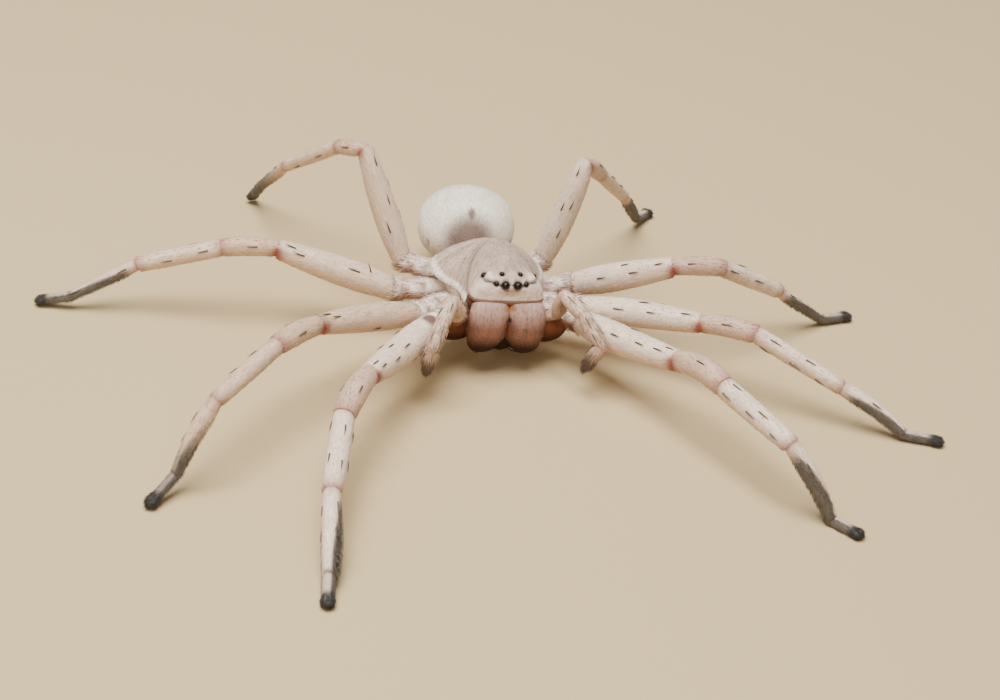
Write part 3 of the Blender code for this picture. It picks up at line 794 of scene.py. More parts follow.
@dataclass
class Leg:
    """One leg from the coxa to the claw tuft."""

    pair: int
    side: Side
    coxa_width: float = 2.1
    coat_depth: float = 0.07
    claw_height: float = 0.46
    floor: float = 0.015
    tuft_half: tuple[float, float] = (0.60, 0.42)
    tuft_tip: float = 0.16
    coxa_knots: tuple[float, ...] = (0, 0.3, 0.55, 0.66, 0.72, 0.88, 1)
    coxa_shape: tuple[float, ...] = (0.68, 0.84, 0.97, 0.95, 0.86, 1.0, 0.92)
    swells: tuple[Place, ...] = (
        (0.76, 0.36, 0.70), (0.84, 0.6, 0.90), (0.98, 0.3, 0.88), (0.92, 0.2, 0.72))
    coxa_spots: tuple[Place, ...] = (
        (0.50, 35, 0.50), (0.58, -40, 0.45), (0.80, -15, 0.40), (0.82, 65, 0.45))
    bare_spot: tuple[float, float] = (0.08, 15)
    spine: Spine = Spine(width=0.15, slope=8.0)
    spine_length: float = 1.05
    spine_lift: float = 0.01
    raised_spine: Spine = Spine(width=0.15, slope=62.0)
    raised_length: float = 1.25

    def __post_init__(self) -> None:
        """Lay the leg's rings along its joints."""
        self.limb = Limb(self.side, self.joints())
        self.limb.build(self.halves(), BOWS[self.pair])

    @property
    def name(self) -> str:
        """The leg's name, such as leg_1_l."""
        return f"leg_{self.pair}_{self.side.value}"

    def joints(self) -> Array:
        """Coxa's root, hip, knee and so on to the tip of the tarsus.

        Returns:
            Their places.
        """
        hip, headings, slopes = STANCES[self.pair, self.side]
        points = [STANCE.place(self.side.mirrored(ROOTS[self.pair])), np.array(hip)]
        for index, length in enumerate(LENGTHS[self.pair]):
            heading = math.radians(headings[index])
            if index < len(slopes):
                slope = math.radians(slopes[index])
            else:
                slope = math.asin((self.claw_height - points[-1][2]) / length)
            level = self.side.mirrored((math.cos(heading), -math.sin(heading), 0.0))
            points.append(points[-1] + length * (level * math.cos(slope) + UP * math.sin(slope)))
        return np.array(points)

    def halves(self) -> Array:
        """Half width and half height of each ring.

        Returns:
            One pair a ring, in millimetres.
        """
        limb, t, widths = self.limb, self.limb.t, WIDTHS[self.pair]
        half = np.choose(limb.part, [
            self.coxa_width / 2 * eased(t, self.coxa_knots, self.coxa_shape),
            *(width / 2 * swell(t, *shape) for width, shape in zip(widths, self.swells)),
            np.full(len(t), widths[-1] / 2)]) - self.coat_depth
        half = half * (1 - 0.10 * limb.near_joint(0.15)) + 0.035 * limb.near_joint(0.42)
        toe = limb.part == Segment.TARSUS
        start = half[toe][0]
        return np.stack([
            np.where(toe, eased(t, (0.0, 0.62, 0.86, 0.95, 1.0), (
                start, start * 0.95, tuft, tuft * 0.86, self.tuft_tip)), half)
            for tuft in self.tuft_half], axis=1)

    def sheath(self) -> Sheath:
        """The leg's skin, tinted, with its hair.

        Returns:
            The sheath.
        """
        limb = self.limb
        toe = ((limb.part == Segment.TARSUS) * ramp(limb.t, 0.62, 0.9))[:, None]
        dent = 1 - 0.34 * toe * bump_at(np.abs(turns(limb.columns)[0]), 0.45)
        centre = limb.centre[:, None]
        points = centre + (limb.points - centre) * dent[..., None]
        points[..., 2] = np.maximum(points[..., 2], self.floor)
        shift = (7.0 * self.pair, 11.0 * self.side.hand, 0.0)
        sheath, height = limb.skin(points, Tint.HAIR_CREAM, shift)
        self.furnish(sheath, self.paint(sheath, height))
        return sheath

    def paint(self, sheath: Sheath, height: Array) -> Array:
        """Lay the leg's markings on its skin.

        Args:
            sheath: the leg's skin.
            height: how far up each place of it faces.

        Returns:
            Where the brush under the foot is, as a weight for each place.
        """
        limb, right = self.limb, self.side is Side.RIGHT
        part, t = limb.part[:, None], limb.t[:, None]
        coxa, tarsus, knee = part == Segment.COXA, part == Segment.TARSUS, Segment.FEMUR
        forward = turns(limb.columns)[0][None] * self.side.hand
        # under weighs the painted shade on the legs' undersides.
        under = ramp(-height, -0.25, 0.75)
        dull = {2: 0.75, 3: 0.45, 4: 0.45}.get(self.pair, 0.0) * right
        red = limb.at_joint(knee, 0.62, -0.05) * ramp(0.75 * forward - 0.5 * height, 0.0, 0.55)
        foot = np.where(part == Segment.METATARSUS, t, tarsus * 1.0)
        edge = 0.16 - 0.70 * ramp(foot, 0.0, 0.9) - 0.32 * (self.pair == 1)
        sole = ramp(-height + 0.7 * forward, edge, edge + 0.35)
        sole = sole * (part >= Segment.METATARSUS) * ramp(foot, 0.02, 0.22)
        pale = right and self.pair in (2, 4)
        blurred, bald = right and self.pair == 2, right and self.pair == 1
        knee_top = limb.at_joint(knee, 0.55, -0.15) * ramp(height, 0.1, 0.8)
        ankle = limb.at_joint(Segment.METATARSUS, 0.26, -0.1) * ramp(height, 0.2, 0.8)
        cream_rim, brown_pit = (limb.spot(knee, *self.bare_spot, size) for size in (1.40, 0.80))
        # Painted light and shade: HAIR_WHITE makes the tops lighter and LEG_UNDER the undersides
        # darker. LEG_UNDER is also laid from the femur out on right legs 2 to 4. The pinks and the
        # red knee membrane are the leg's own.
        sheath.lay(
            (Tint.HAIR_WHITE, 0.75 * ramp(height, 0.1, 0.9)),
            (Tint.LEG_UNDER, 0.7 * under),
            (Tint.PATELLA_PINK, 0.7 * (part == Segment.PATELLA) * (1 - 0.4 * under)),
            (Tint.LEG_UNDER, dull * (part >= Segment.FEMUR)),
            (Tint.JOINT_PINK, 0.6 * limb.at_joint(knee, 0.22)),
            (Tint.MEMBRANE_RED, 0.95 * red))
        for joint in (Segment.PATELLA, Segment.TIBIA):
            sheath.lay(
                (Tint.JOINT_PINK, 0.75 * limb.at_joint(joint, 0.6, -0.2)),
                (Tint.BROW_LINE, 0.5 * limb.at_joint(joint, 0.09, 0.05)))
        # On the coxae the white tops and red undersides, and the red on the front and lower side
        # of the first coxae, are partly their own colour, partly painted light and shade. The red
        # spots are their own.
        sheath.lay(
            (Tint.BROW_LINE, 0.7 * limb.at_joint(Segment.COXA, 0.13, 0.1)),
            (Tint.TUFT_WHITE, 0.9 * coxa * ramp(height, -0.1, 0.5)),
            (Tint.COXA_RED, 0.75 * coxa * ramp(-height, -0.45, 0.3)),
            (Tint.MAXILLA_RED,
             0.85 * (self.pair == 1) * coxa * ramp(0.7 * forward - height, 0.1, 0.8)),
            *((Tint.COXA_RED, 0.8 * limb.spot(Segment.COXA, *spot)) for spot in self.coxa_spots),
            (Tint.TUFT_WHITE, 1.2 * bald * cream_rim),
            (Tint.MEMBRANE_BROWN, 1.8 * bald * brown_pit),
            (Tint.SCOPULA, 0.95 * sole * np.where(pale, ramp(foot, 0.0, 0.9), 1.0)),
            (Tint.TARSUS_GREY, 0.6 * tarsus * (1 - sole)),
            (Tint.SCOPULA, 0.65 * blurred * ramp(foot, 0.45, 0.95)),
            (Tint.BROW_LINE, 0.45 * blurred * knee_top),
            (Tint.BROW_LINE, 0.85 * ankle),
            (Tint.CLAW_BLACK, 0.97 * tarsus * ramp(t, 0.50, 0.74)))
        return sole

    def furnish(self, sheath: Sheath, sole: Array) -> None:
        """Say how long and how dense the hair is along the leg.

        Args:
            sheath: the leg's skin.
            sole: where the brush under the foot is.
        """
        limb = self.limb
        part, t = limb.part[:, None], limb.t[:, None]
        bald = self.pair == 1 and self.side is Side.RIGHT
        inner = ramp(turns(limb.columns)[0][None] * self.side.hand, 0.3, 0.9)
        brush = sole * inner * (part == Segment.METATARSUS) * ramp(t, 0.2, 0.6)
        sheath.hair(
            (Pile.LEG, 1.0),
            (Pile.COXA, part == Segment.COXA),
            (Pile.HIP, limb.at_joint(Segment.COXA, 0.8, -0.4)),
            (Pile.SOLE, sole),
            (Pile.LEG_SPOT, 2.0 * bald * limb.spot(Segment.FEMUR, *self.bare_spot, 1.25)),
            (Pile.LEG_SPOT, 2.0 * bald * limb.spot(Segment.COXA, 0.92, 15, 0.9)),
            (Pile.SOLE_BRUSH, bald * brush),
            (Pile.CLAW_TUFT, (part == Segment.TARSUS) * ramp(t, 0.50, 0.72)))

    def spines(self, soup: Soup) -> None:
        """Set the spines on the leg.

        Args:
            soup: the mesh being gathered.
        """
        limb = self.limb
        random = np.random.default_rng(100 * self.pair + ord(self.side.value))
        segments = (Segment.FEMUR, Segment.PATELLA, Segment.TIBIA, Segment.METATARSUS)
        plan = [(self.spine, 1.0, part, *place)
                for part, row in zip(segments, SPINE_PLACES[self.pair, self.side])
                for place in row]
        if self.pair == 3 and self.side is Side.RIGHT:
            plan.append((self.raised_spine, self.raised_length, Segment.FEMUR, 0.24, 20))
        for spine, scale, part, share, turn in plan:
            row = limb.row_at(part, share)
            out = limb.outward(part, turn + random.uniform(-4, 4))
            length = self.spine_length * random.uniform(0.85, 1.12) * scale
            root = limb.centre[row] + out * (limb.half[row, 0] + self.spine_lift)
            spine.add(soup, root, limb.aims[part], out, length)


@dataclass
class Palp:
    """One palp, from its root behind the jaw to its hairy tip."""

    side: Side
    stance: tuple[Place, ...]
    fullness: float = 1.0
    redness: float = 0.8
    root: Place = (2.9, -4.1, 4.35)
    coat_depth: float = 0.10
    floor: float = 0.05
    thinnest: float = 0.04
    shapes: tuple[tuple[tuple[float, ...], tuple[float, ...]], ...] = (
        ((0, 1), (0.52, 0.60)),
        ((0, 0.35, 0.8, 1), (0.60, 0.82, 0.80, 0.72)),
        ((0, 0.5, 1), (0.74, 0.80, 0.76)),
        ((0, 0.5, 1), (0.74, 0.78, 0.72)),
        ((0, 0.3, 0.75, 0.93, 1), (0.70, 0.76, 0.62, 0.40, 0.10)))
    bristles: tuple[tuple[int, float, float], ...] = (
        (1, 0.7, 20), (2, 0.3, 30), (2, 0.6, -35), (3, 0.2, 40), (3, 0.5, -15), (3, 0.7, 60),
        (4, 0.1, 10), (4, 0.2, 60), (4, 0.3, -40))
    bristle: Spine = Spine(width=0.11, slope=math.degrees(math.atan(0.22)))
    bristle_length: float = 1.25

    def __post_init__(self) -> None:
        """Lay the palp's rings along its joints."""
        joints = np.vstack([STANCE.place(self.side.mirrored(self.root)), self.stance])
        self.limb = limb = Limb(self.side, joints, columns=24, spacing=0.13)
        half = np.choose(limb.part, [eased(limb.t, *shape) for shape in self.shapes])
        half = np.where(limb.part == 1, half * self.fullness, half) - self.coat_depth
        half = np.maximum(half, self.thinnest) * (1 - 0.10 * limb.near_joint(0.14))
        limb.build(half, (0.0,) * len(self.shapes))

    def sheath(self) -> Sheath:
        """The palp's skin, tinted, with its hair.

        Returns:
            The sheath.
        """
        limb = self.limb
        points = limb.points.copy()
        points[..., 2] = np.maximum(points[..., 2], self.floor)
        shift = (31.0, 17.0 * self.side.hand, 0.0)
        sheath, height = limb.skin(points, Tint.PALP_CREAM, shift)
        part, share = limb.part[:, None], limb.t[:, None]
        # Lighter on top and red below: partly the palp's own colour, partly painted light and
        # shade.
        sheath.lay(
            (Tint.HAIR_CREAM, 0.55 * ramp(height, 0.1, 0.9) * (part < 4)),
            (Tint.MAXILLA_RED, self.redness * ramp(-height, -0.1, 0.7) * (part <= 1)),
            (Tint.COXA_RED, 0.6 * ramp(-height, 0.0, 0.8) * (part == 2)),
            (Tint.JOINT_PINK, 0.4 * limb.near_joint(0.2)[:, None]),
            (Tint.PALP_TIP, 0.92 * (part == 4) * ramp(share, 0.15, 0.65)))
        sheath.hair((Pile.PALP, 1.0), (Pile.PALP_END, part >= 3))
        sheath.dark += 0.10 * (part >= 1) + 0.12 * (part >= 3)
        return sheath

    def spines(self, soup: Soup) -> None:
        """Set the palp's dark bristles, a few on each of the outer segments.

        Args:
            soup: the mesh being gathered.
        """
        limb = self.limb
        for part, share, turn in self.bristles:
            rows = np.flatnonzero(limb.part == part)
            row, out = rows[int(share * (len(rows) - 1))], limb.outward(part, turn)
            root = limb.centre[row] + out * limb.half[row, 0]
            self.bristle.add(soup, root, limb.aims[part], out, self.bristle_length)


PALPS = (
    Palp(Side.LEFT, ((4.70, -5.95, 5.6), (4.9, -7.2, 8.4), (6.05, -9.3, 7.6),
                     (7.4, -11.35, 5.5), (6.05, -11.2, 2.7))),
    Palp(Side.RIGHT, ((-4.70, -6.15, 6.25), (-5.8, -7.3, 8.5), (-7.1, -9.4, 7.8),
                      (-8.3, -10.9, 6.2), (-8.6, -10.6, 3.3)), fullness=1.2, redness=0.25),
)


@dataclass
class Carapace:
    """The plate over head and thorax, with its brow, grooves and clypeus.

    Each station is y, the half width, the edge's height, the top's height and how full the
    outline is there; the brow is x and z, and each eye its middle and radius.
    """

    stations: tuple[tuple[float, ...], ...] = (
        (-6.60, 2.70, 7.85, 9.50, 2.6),
        (-6.45, 3.25, 7.65, 9.85, 2.5),
        (-6.00, 3.50, 7.60, 10.10, 2.3),
        (-5.30, 3.55, 7.60, 10.35, 2.1),
        (-4.95, 3.50, 7.60, 10.45, 2.1),
        (-3.90, 3.35, 5.95, 10.65, 2.2),
        (-2.80, 3.35, 5.95, 10.75, 2.2),
        (-1.60, 3.60, 5.95, 10.80, 1.9),
        (-0.40, 4.50, 5.95, 10.70, 1.5),
        (0.80, 5.15, 5.95, 10.25, 1.3),
        (2.00, 5.35, 5.95, 9.60, 1.3),
        (3.20, 5.00, 5.95, 8.85, 1.6),
        (4.30, 4.00, 5.95, 7.95, 1.8),
        (5.10, 2.60, 5.95, 7.15, 2.0),
        (5.50, 1.30, 5.95, 6.65, 2.0),
    )
    coat_depth: float = 0.04
    top_columns: int = 104
    under_columns: int = 56
    under_bulge: float = 0.12
    face_rows: int = 46
    back_rows: int = 92
    face_start: float = -5.0
    face_depth: float = 1.66
    face_power: float = 4.0
    brow_power: float = 2.6
    brow: tuple[tuple[float, float], ...] = (
        (2.50, 9.58), (1.90, 9.64), (1.40, 9.46), (0.95, 9.36), (0.30, 9.36), (0.0, 9.40))
    brow_rise: float = 0.26
    groove: tuple[Place, ...] = ((0.5, 1.3, 10.0), (2.2, -0.3, 9.9), (3.4, -2.2, 8.2),
                                 (3.5, -3.6, 6.6))
    slit: tuple[Place, ...] = ((0, 1.4, 9.95), (0, 3.0, 9.0))
    eyes: tuple[tuple[Place, float], ...] = (
        ((0.58, -6.50, 9.42), 0.37),
        ((1.40, -6.28, 9.45), 0.24),
        ((0.86, -5.75, 10.15), 0.22),
        ((2.35, -5.10, 9.60), 0.27))
    fovea: float = 2.3
    spokes: int = 9

    def plate(self) -> Array:
        """The plate's plain shape, from the middle of the face to the rear edge.

        The face is a blunt dome from the head's outline forward, but stays upright below its
        middle, where the clypeus stands over the jaws.

        Returns:
            Rows by columns of places on the body.
        """
        table = np.array(self.stations)
        angle = np.concatenate([
            np.linspace(0, math.pi, self.top_columns, endpoint=False),
            np.linspace(math.pi, math.tau, self.under_columns, endpoint=False)])
        cosine, sine = np.cos(angle), np.sin(angle)

        def rings(y: Array) -> Array:
            """The plate's outlines at each y."""
            half, low, high, full = (
                eased(y, table[:, 0], column)[:, None] for column in table[:, 1:].T)
            x = np.sign(cosine) * np.abs(cosine) ** (2 / full) * half
            rise = np.maximum(sine, 0) ** (2 / full) * (high - low)
            return places(x, y[:, None], low + rise + np.minimum(sine, 0) * self.under_bulge)

        outline = rings(np.array([self.face_start]))[0]
        low, high = outline[:, 2].min() + self.under_bulge, outline[:, 2].max()
        wide = outline[:, 0].max()
        hub = np.array([0.0, self.face_start, low + 1.15])
        upward = np.clip(unit(outline - hub)[:, 2], 0, 1)
        power = self.face_power + (self.brow_power - self.face_power) * upward
        face = []
        for turn in np.radians(np.linspace(2, 90, self.face_rows)):
            share = math.sin(turn) ** (2 / power)
            ring = hub + (outline - hub) * share[:, None]
            level = np.clip((ring[:, 2] - low) / (high - low), 0, 0.9)
            flank = np.abs(ring[:, 0]) / (wide * (1 - level ** 2.1) ** 0.476)
            reach = np.clip(np.where(ring[:, 2] >= hub[2], share, flank), 0, 1)
            ring[:, 1] -= self.face_depth * (1 - reach ** power) ** (1 / power)
            face.append(ring)
        back = rings(np.linspace(self.face_start + 0.1, self.stations[-1][0], self.back_rows))
        seam = [face[-1] * (1 - share) + back[0] * share for share in np.linspace(0, 1, 8)[1:-1]]
        return np.concatenate([np.array(face), np.array(seam), back])

    def sheath(self) -> Sheath:
        """The plate's skin, sculpted and tinted, with its hair.

        Returns:
            The sheath.
        """
        body = self.plate()
        x, y, z = np.moveaxis(body, -1, 0)
        side = np.abs(x)
        mirror = places(side, y, z)
        reach, bearing = np.hypot(x, y - self.fovea), np.arctan2(x, self.fovea - y)
        flat = (ramp(-y, 5.6, 6.2) * ramp(-z, -9.6, -9.0))[..., None]
        lie = places(3.2 * np.sin(bearing), 3.2 * np.cos(bearing), reach) * (1 - flat)
        lie = lie + flat * places(0.3 * x + 5.0, 0.3 * z, 2.0 * z)
        margin = 0.6 * ramp(y, -4.0, -2.0)[..., None]
        comb = unit(places(x * 0.35, 3.0, -0.4)) * (1 - margin)
        comb = comb + unit(places(x, 0.6 * (y - 1.0), 0.0)) * margin
        sheath = Sheath(body, Tint.SHELL_BEIGE, lie, comb)
        behind = 9 * ramp(y, -5.2, -5.0)
        front = mirror[..., [0, 2]]
        marks = {
            "groove": line_distance(mirror, self.groove),
            "crease": line_distance(front, self.brow) + behind,
            "ridge": line_distance(front - np.array([0, self.brow_rise]), self.brow) + behind,
            "spokes": np.cos(bearing * self.spokes) * ramp(reach, 0.8, 2.2) * ramp(y, -2.2, -0.5),
        }
        lift = (-0.24 * bump_at(marks["groove"], 0.42)
                - 0.24 * bump_at(line_distance(body, self.slit), 0.22)
                - 0.15 * bump_at(marks["crease"], 0.13)
                + 0.16 * bump_at(marks["ridge"], 0.24) * ramp(side, 0.2, 1.0)
                - 0.045 * marks["spokes"] * ramp(z, 6.4, 7.2)
                + 0.17 * bump_at(z - 6.20, 0.28) * ramp(y, -4.6, -3.8)
                + 0.05 * bump_at(z - 7.72, 0.09) * ramp(-y, 4.9, 5.3))
        normals = sheath.normals()
        straight = normals * places(np.where(x < 0, -1.0, 1.0), 1.0, 1.0)
        for centre, radius in self.eyes:
            away = mirror - np.array(centre)
            height = (away * straight).sum(-1)
            gap = distance(away - height[..., None] * straight)
            near = bump_at(gap, radius * 1.35) * (distance(away) < radius * 5)
            lift = lift * (1 - near) + near * (-0.12 * radius - height)
            lift = lift + 0.05 * bump_at(gap - radius * 1.7, radius * 0.45)
        sheath.points = body + normals * (lift - self.coat_depth)[..., None]
        self.paint(sheath, mirror, marks)
        return sheath.posed()

    def paint(self, sheath: Sheath, mirror: Array, marks: dict[str, Array]) -> None:
        """Lay the plate's markings and hair on it.

        Args:
            sheath: the plate's skin.
            mirror: each point with its x made positive.
            marks: distances from the groove round the head, from the crease under the brow
                and from the brow's ridge, and the height of the thorax's spokes.
        """
        side, y, z = np.moveaxis(mirror, -1, 0)
        front, low, behind = ramp(-y, 5.0, 6.0), ramp(-y, 4.9, 5.3), ramp(y, -4.6, -3.8)
        patch = np.hypot(side, (z - 8.78) / 0.50)
        rims = [np.maximum(distance(mirror - np.array(centre)) - radius, 0)
                for centre, radius in self.eyes]
        # The dark lines along the groove round the head and along the crease under the brow are
        # partly their own colour, partly painted shade in those hollows.
        sheath.lay(
            (Tint.SHELL_STREAK, 0.35 * ramp(z, 9.4, 10.6) * ramp(-y, -3.0, 5.0) * (1 - front)),
            (Tint.FACE_PINK, 0.8 * front * ramp(-z, -9.7, -9.2)),
            (Tint.SHELL_STREAK, 0.28 * np.clip(marks["spokes"], 0, 1)),
            (Tint.SHELL_STREAK, 0.85 * bump_at(marks["groove"], 0.46)),
            (Tint.FACE_PINK, 0.9 * bump_at(marks["ridge"], 0.24)),
            (Tint.BROW_LINE, 0.9 * bump_at(marks["crease"], 0.12) * ramp(side, 0.35, 0.9)),
            (Tint.EYE_PATCH, 0.85 * ramp(-patch, -1.25, -0.2) * front),
            *((Tint.EYE_RING, 0.92 * bump_at(rim, 0.16)) for rim in rims),
            (Tint.HAIR_WHITE, 0.7 * bump_at(z - 8.2, 0.2) * low),
            (Tint.CLYPEUS_EDGE, 0.95 * ramp(-z, -7.97, -7.84) * low),
            (Tint.TUFT_WHITE, 0.95 * ramp(-z, -6.80, -6.40) * behind))
        sheath.hair(
            (Pile.SHELL, 1.0),
            (Pile.FACE, ramp(-y, 4.8, 5.6)),
            (Pile.SHELL_RIM, ramp(-z, -6.9, -6.4) * ramp(y, -4.4, -3.4)),
            *((Pile.EYE_RIM, bump_at(rim, 0.1)) for rim in rims),
            (Pile.NONE, ramp(-z, -5.98, -5.9)))
        sheath.dark += 0.07 * ramp(z, 8.6, 9.8)


@dataclass
class Abdomen:
    """The egg-shaped abdomen with its waist."""

    start: float = 6.9
    end: float = 17.2
    half_width: float = 4.88
    half_height: float = 3.64
    height: float = 5.3
    swing: float = 0.4
    waist_start: float = 4.3
    waist_half: float = 0.7
    waist_height: float = 4.9
    waist_rows: int = 8
    coat_depth: float = 0.10
    rows: int = 84
    columns: int = 96

    def sheath(self) -> Sheath:
        """The abdomen's skin, tinted, with its hair.

        Returns:
            The sheath.
        """
        t = 0.5 - 0.5 * np.cos(math.pi * np.linspace(0.03, 0.985, self.rows))
        girth = np.sin(math.pi * t ** 1.08) ** 0.62
        belly = np.maximum(np.sin(math.pi * t ** 0.94) ** 0.62 - girth, 0)
        length = self.start + (self.end - self.start) * t
        stalk = np.linspace(self.waist_start, length[0] - 0.1, self.waist_rows)
        none = np.zeros(self.waist_rows)
        settle = (self.waist_height - self.height) * (1 - t) ** 3
        mid_x = np.concatenate([none, self.swing * np.sin(math.pi / 2 * t)])[:, None]
        mid_z = np.concatenate([none + self.waist_height, self.height + settle])[:, None]
        wide, high = (
            np.concatenate([none + self.waist_half, np.maximum(
                np.maximum(full * girth - self.coat_depth, 0.05), self.waist_half * (t < 0.5))])
            for full in (self.half_width, self.half_height))
        cosine, sine = turns(self.columns)
        fuller = 1 + 0.07 * (2 * sine * cosine) ** 2 * (sine < 0)
        more = ramp(-sine, -0.45, 0.25) * np.concatenate([none, belly])[:, None]
        x = mid_x + (wide[:, None] + self.half_width * more) * cosine * fuller
        z = mid_z + (high[:, None] + self.half_height * more) * sine * fuller
        points = places(x, np.concatenate([stalk, length])[:, None], z)
        y = points[..., 1]
        mean = (wide + high)[:, None] / 2
        lie = 0.5 * places(mean * cosine, mean * sine, y) + np.array([60.0, 0.0, 0.0])
        sheath = Sheath(points, Tint.ABDOMEN_CREAM, lie, np.array([0.0, 1.0, 0.0]))
        # dusk weighs a painted shade where the abdomen's front dips to the waist.
        dusk = np.hypot((x + 0.6) / 4.0, (y - 7.0) / 3.3)
        heart = np.hypot((x + 0.12 + 0.08 * (9.5 - y)) / 0.34, (y - 9.5) / 0.60)
        fleck = np.hypot((y - 9.7) / 0.15, (z - 4.4) / 0.45)
        # Painted shade: pink over the lower part and the front, and deep brown where the front
        # dips to the waist. The heart mark and the fleck are the abdomen's own.
        sheath.lay(
            (Tint.ABDOMEN_PINK, 0.7 * ramp(-z, -6.2, -3.2)),
            (Tint.ABDOMEN_PINK, 0.65 * ramp(-y, -10.2, -7.4)),
            (Tint.ABDOMEN_SHADE, 0.97 * ramp(-dusk, -1.0, -0.4) * ramp(z, 3.5, 5.5)),
            (Tint.HEART_MARK, 0.95 * ramp(-heart, -1.3, -0.6) * ramp(z, 6.0, 7.5)),
            (Tint.HEART_MARK, 0.7 * ramp(-fleck, -1.3, -0.6) * ramp(np.abs(x), 2.0, 3.0)))
        sheath.hair((Pile.ABDOMEN, 1.0), (Pile.NONE, ramp(-y, -7.0, -6.6)))
        return sheath.posed()


@dataclass
class Underside:
    """Breastplate, soft side walls above the coxae, spinnerets, and the mouth's lobes.

    The drums' levels are height, half width and half length; a lobe is its middle, half its
    extent along x, y and z, and the colours of its upper and its lower part.
    """

    sternum: tuple[Place, ...] = (
        (3.0, 1.375, 1.815), (3.25, 2.15, 2.838), (3.6, 2.45, 3.234), (5.6, 2.35, 3.102))
    sternum_y: float = 0.6
    walls: tuple[Place, ...] = ((3.7, 2.4, 3.4), (4.2, 3.3, 4.4), (5.2, 4.1, 4.5), (6.2, 4.2, 4.4))
    walls_y: float = 0.7
    spinneret_base: Place = (0.40, 16.75, 3.2)
    spinneret_apart: float = 0.34
    spinneret_length: float = 1.15
    # The mouth's middle lobe is dark all over: partly its own colour, partly painted shade in the
    # gap between the jaws.
    middle_lobes: tuple[tuple[Place, Place, Tint, Tint], ...] = (
        ((0.15, -5.60, 4.4), (1.9, 0.85, 2.35), Tint.JAW_DARK, Tint.JAW_DARK),
        ((0.15, -5.60, 7.40), (3.1, 0.85, 0.62), Tint.CLYPEUS_EDGE, Tint.JAW_DARK))
    side_lobes: tuple[tuple[Place, Place, Tint, Tint], ...] = (
        ((1.45, -4.4, 4.4), (1.0, 1.35, 1.5), Tint.MAXILLA_RED, Tint.JAW_DARK),
        ((2.05, -4.75, 6.75), (1.35, 1.45, 1.45), Tint.MAXILLA_RED, Tint.JAW_DARK),
        ((4.35, -4.7, 4.15), (2.2, 1.3, 1.6), Tint.MAXILLA_RED, Tint.JAW_DARK))
    palp_knob: tuple[Place, Place, Tint, Tint] = (
        (-4.60, -6.40, 6.2), (0.86, 0.86, 1.15), Tint.PALP_CREAM, Tint.MAXILLA_RED)

    def drum(self, y: float, levels: tuple[Place, ...], tint: Tint) -> Sheath:
        """An oval drum built of level rings.

        Args:
            y: where its middle is.
            levels: for each ring its height, half width and half length.
            tint: its colour.

        Returns:
            The sheath.
        """
        heights, widths, depths = np.array(levels).T
        z = np.linspace(heights[0], heights[-1], 26)
        wide, long = eased(z, heights, widths)[:, None], eased(z, heights, depths)[:, None]
        cosine, sine = turns(56)
        points = places(wide * cosine, y + long * sine, z[:, None])
        sheath = Sheath(points, tint, points + 80.0, np.array([0.0, 1.0, -0.2]))
        sheath.hair((Pile.BELLY, 1.0))
        return sheath.posed()

    def sheaths(self) -> list[Sheath]:
        """The skins of the breastplate, the side walls and the spinnerets.

        Returns:
            One sheath each.
        """
        sternum = self.drum(self.sternum_y, self.sternum, Tint.HAIR_BEIGE)
        walls = self.drum(self.walls_y, self.walls, Tint.HAIR_CREAM)
        return [sternum, walls, self.spinneret(Side.RIGHT), self.spinneret(Side.LEFT)]

    def mouth_parts(self) -> list[Sheath]:
        """The bare skin of the mouth, with the lobes on each side of it.

        Returns:
            One sheath each.
        """
        paired = [(side.mirrored(centre), *rest)
                  for side in (Side.RIGHT, Side.LEFT) for centre, *rest in self.side_lobes]
        return [self.lobe(*lobe) for lobe in (*self.middle_lobes, *paired, self.palp_knob)]

    def lobe(self, centre: Any, size: Place, tint: Tint, low: Tint) -> Sheath:
        """An egg-shaped lobe on the body.

        Args:
            centre: its middle.
            size: half its extent along x, y and z.
            tint: its colour.
            low: the colour that it goes to below, painted shade.

        Returns:
            The sheath.
        """
        rise = np.linspace(0.08, math.pi - 0.08, 24)[:, None]
        cosine, sine = turns(36)
        shape = places(np.sin(rise) * cosine, np.sin(rise) * sine, -np.cos(rise))
        points = np.array(centre) + shape * np.array(size)
        sheath = Sheath(points, tint, 0.5 * points + 70.0, np.array([0.0, -0.4, -1.0]))
        # Painted shade: each lobe darkens towards its underside.
        sheath.lay((low, 0.9 * ramp(-shape[..., 2], -0.4, 0.6)))
        return sheath.posed()

    def spinneret(self, hand: Side) -> Sheath:
        """One of the short cones side by side under the abdomen's end.

        Args:
            hand: which of the two.

        Returns:
            The sheath.
        """
        back, rise = unit(np.array([0.0, 1.0, -0.55])), unit(np.array([0.0, 0.55, 1.0]))
        side = np.array([1.0, 0.0, 0.0])
        share = np.linspace(-1.1, 1, 26)
        half = eased(share, (-1.1, 0, 0.4, 0.8, 1), (0.52, 0.42, 0.38, 0.28, 0.10))
        base = np.array(self.spinneret_base) + side * hand.hand * self.spinneret_apart
        centre = base + back * share[:, None] * self.spinneret_length
        points = hoops(centre, half, side, rise, 20)
        sheath = Sheath(points, Tint.HAIR_BEIGE, points + 90.0, back)
        sheath.hair((Pile.SPINNERET, 1.0))
        return sheath.posed()


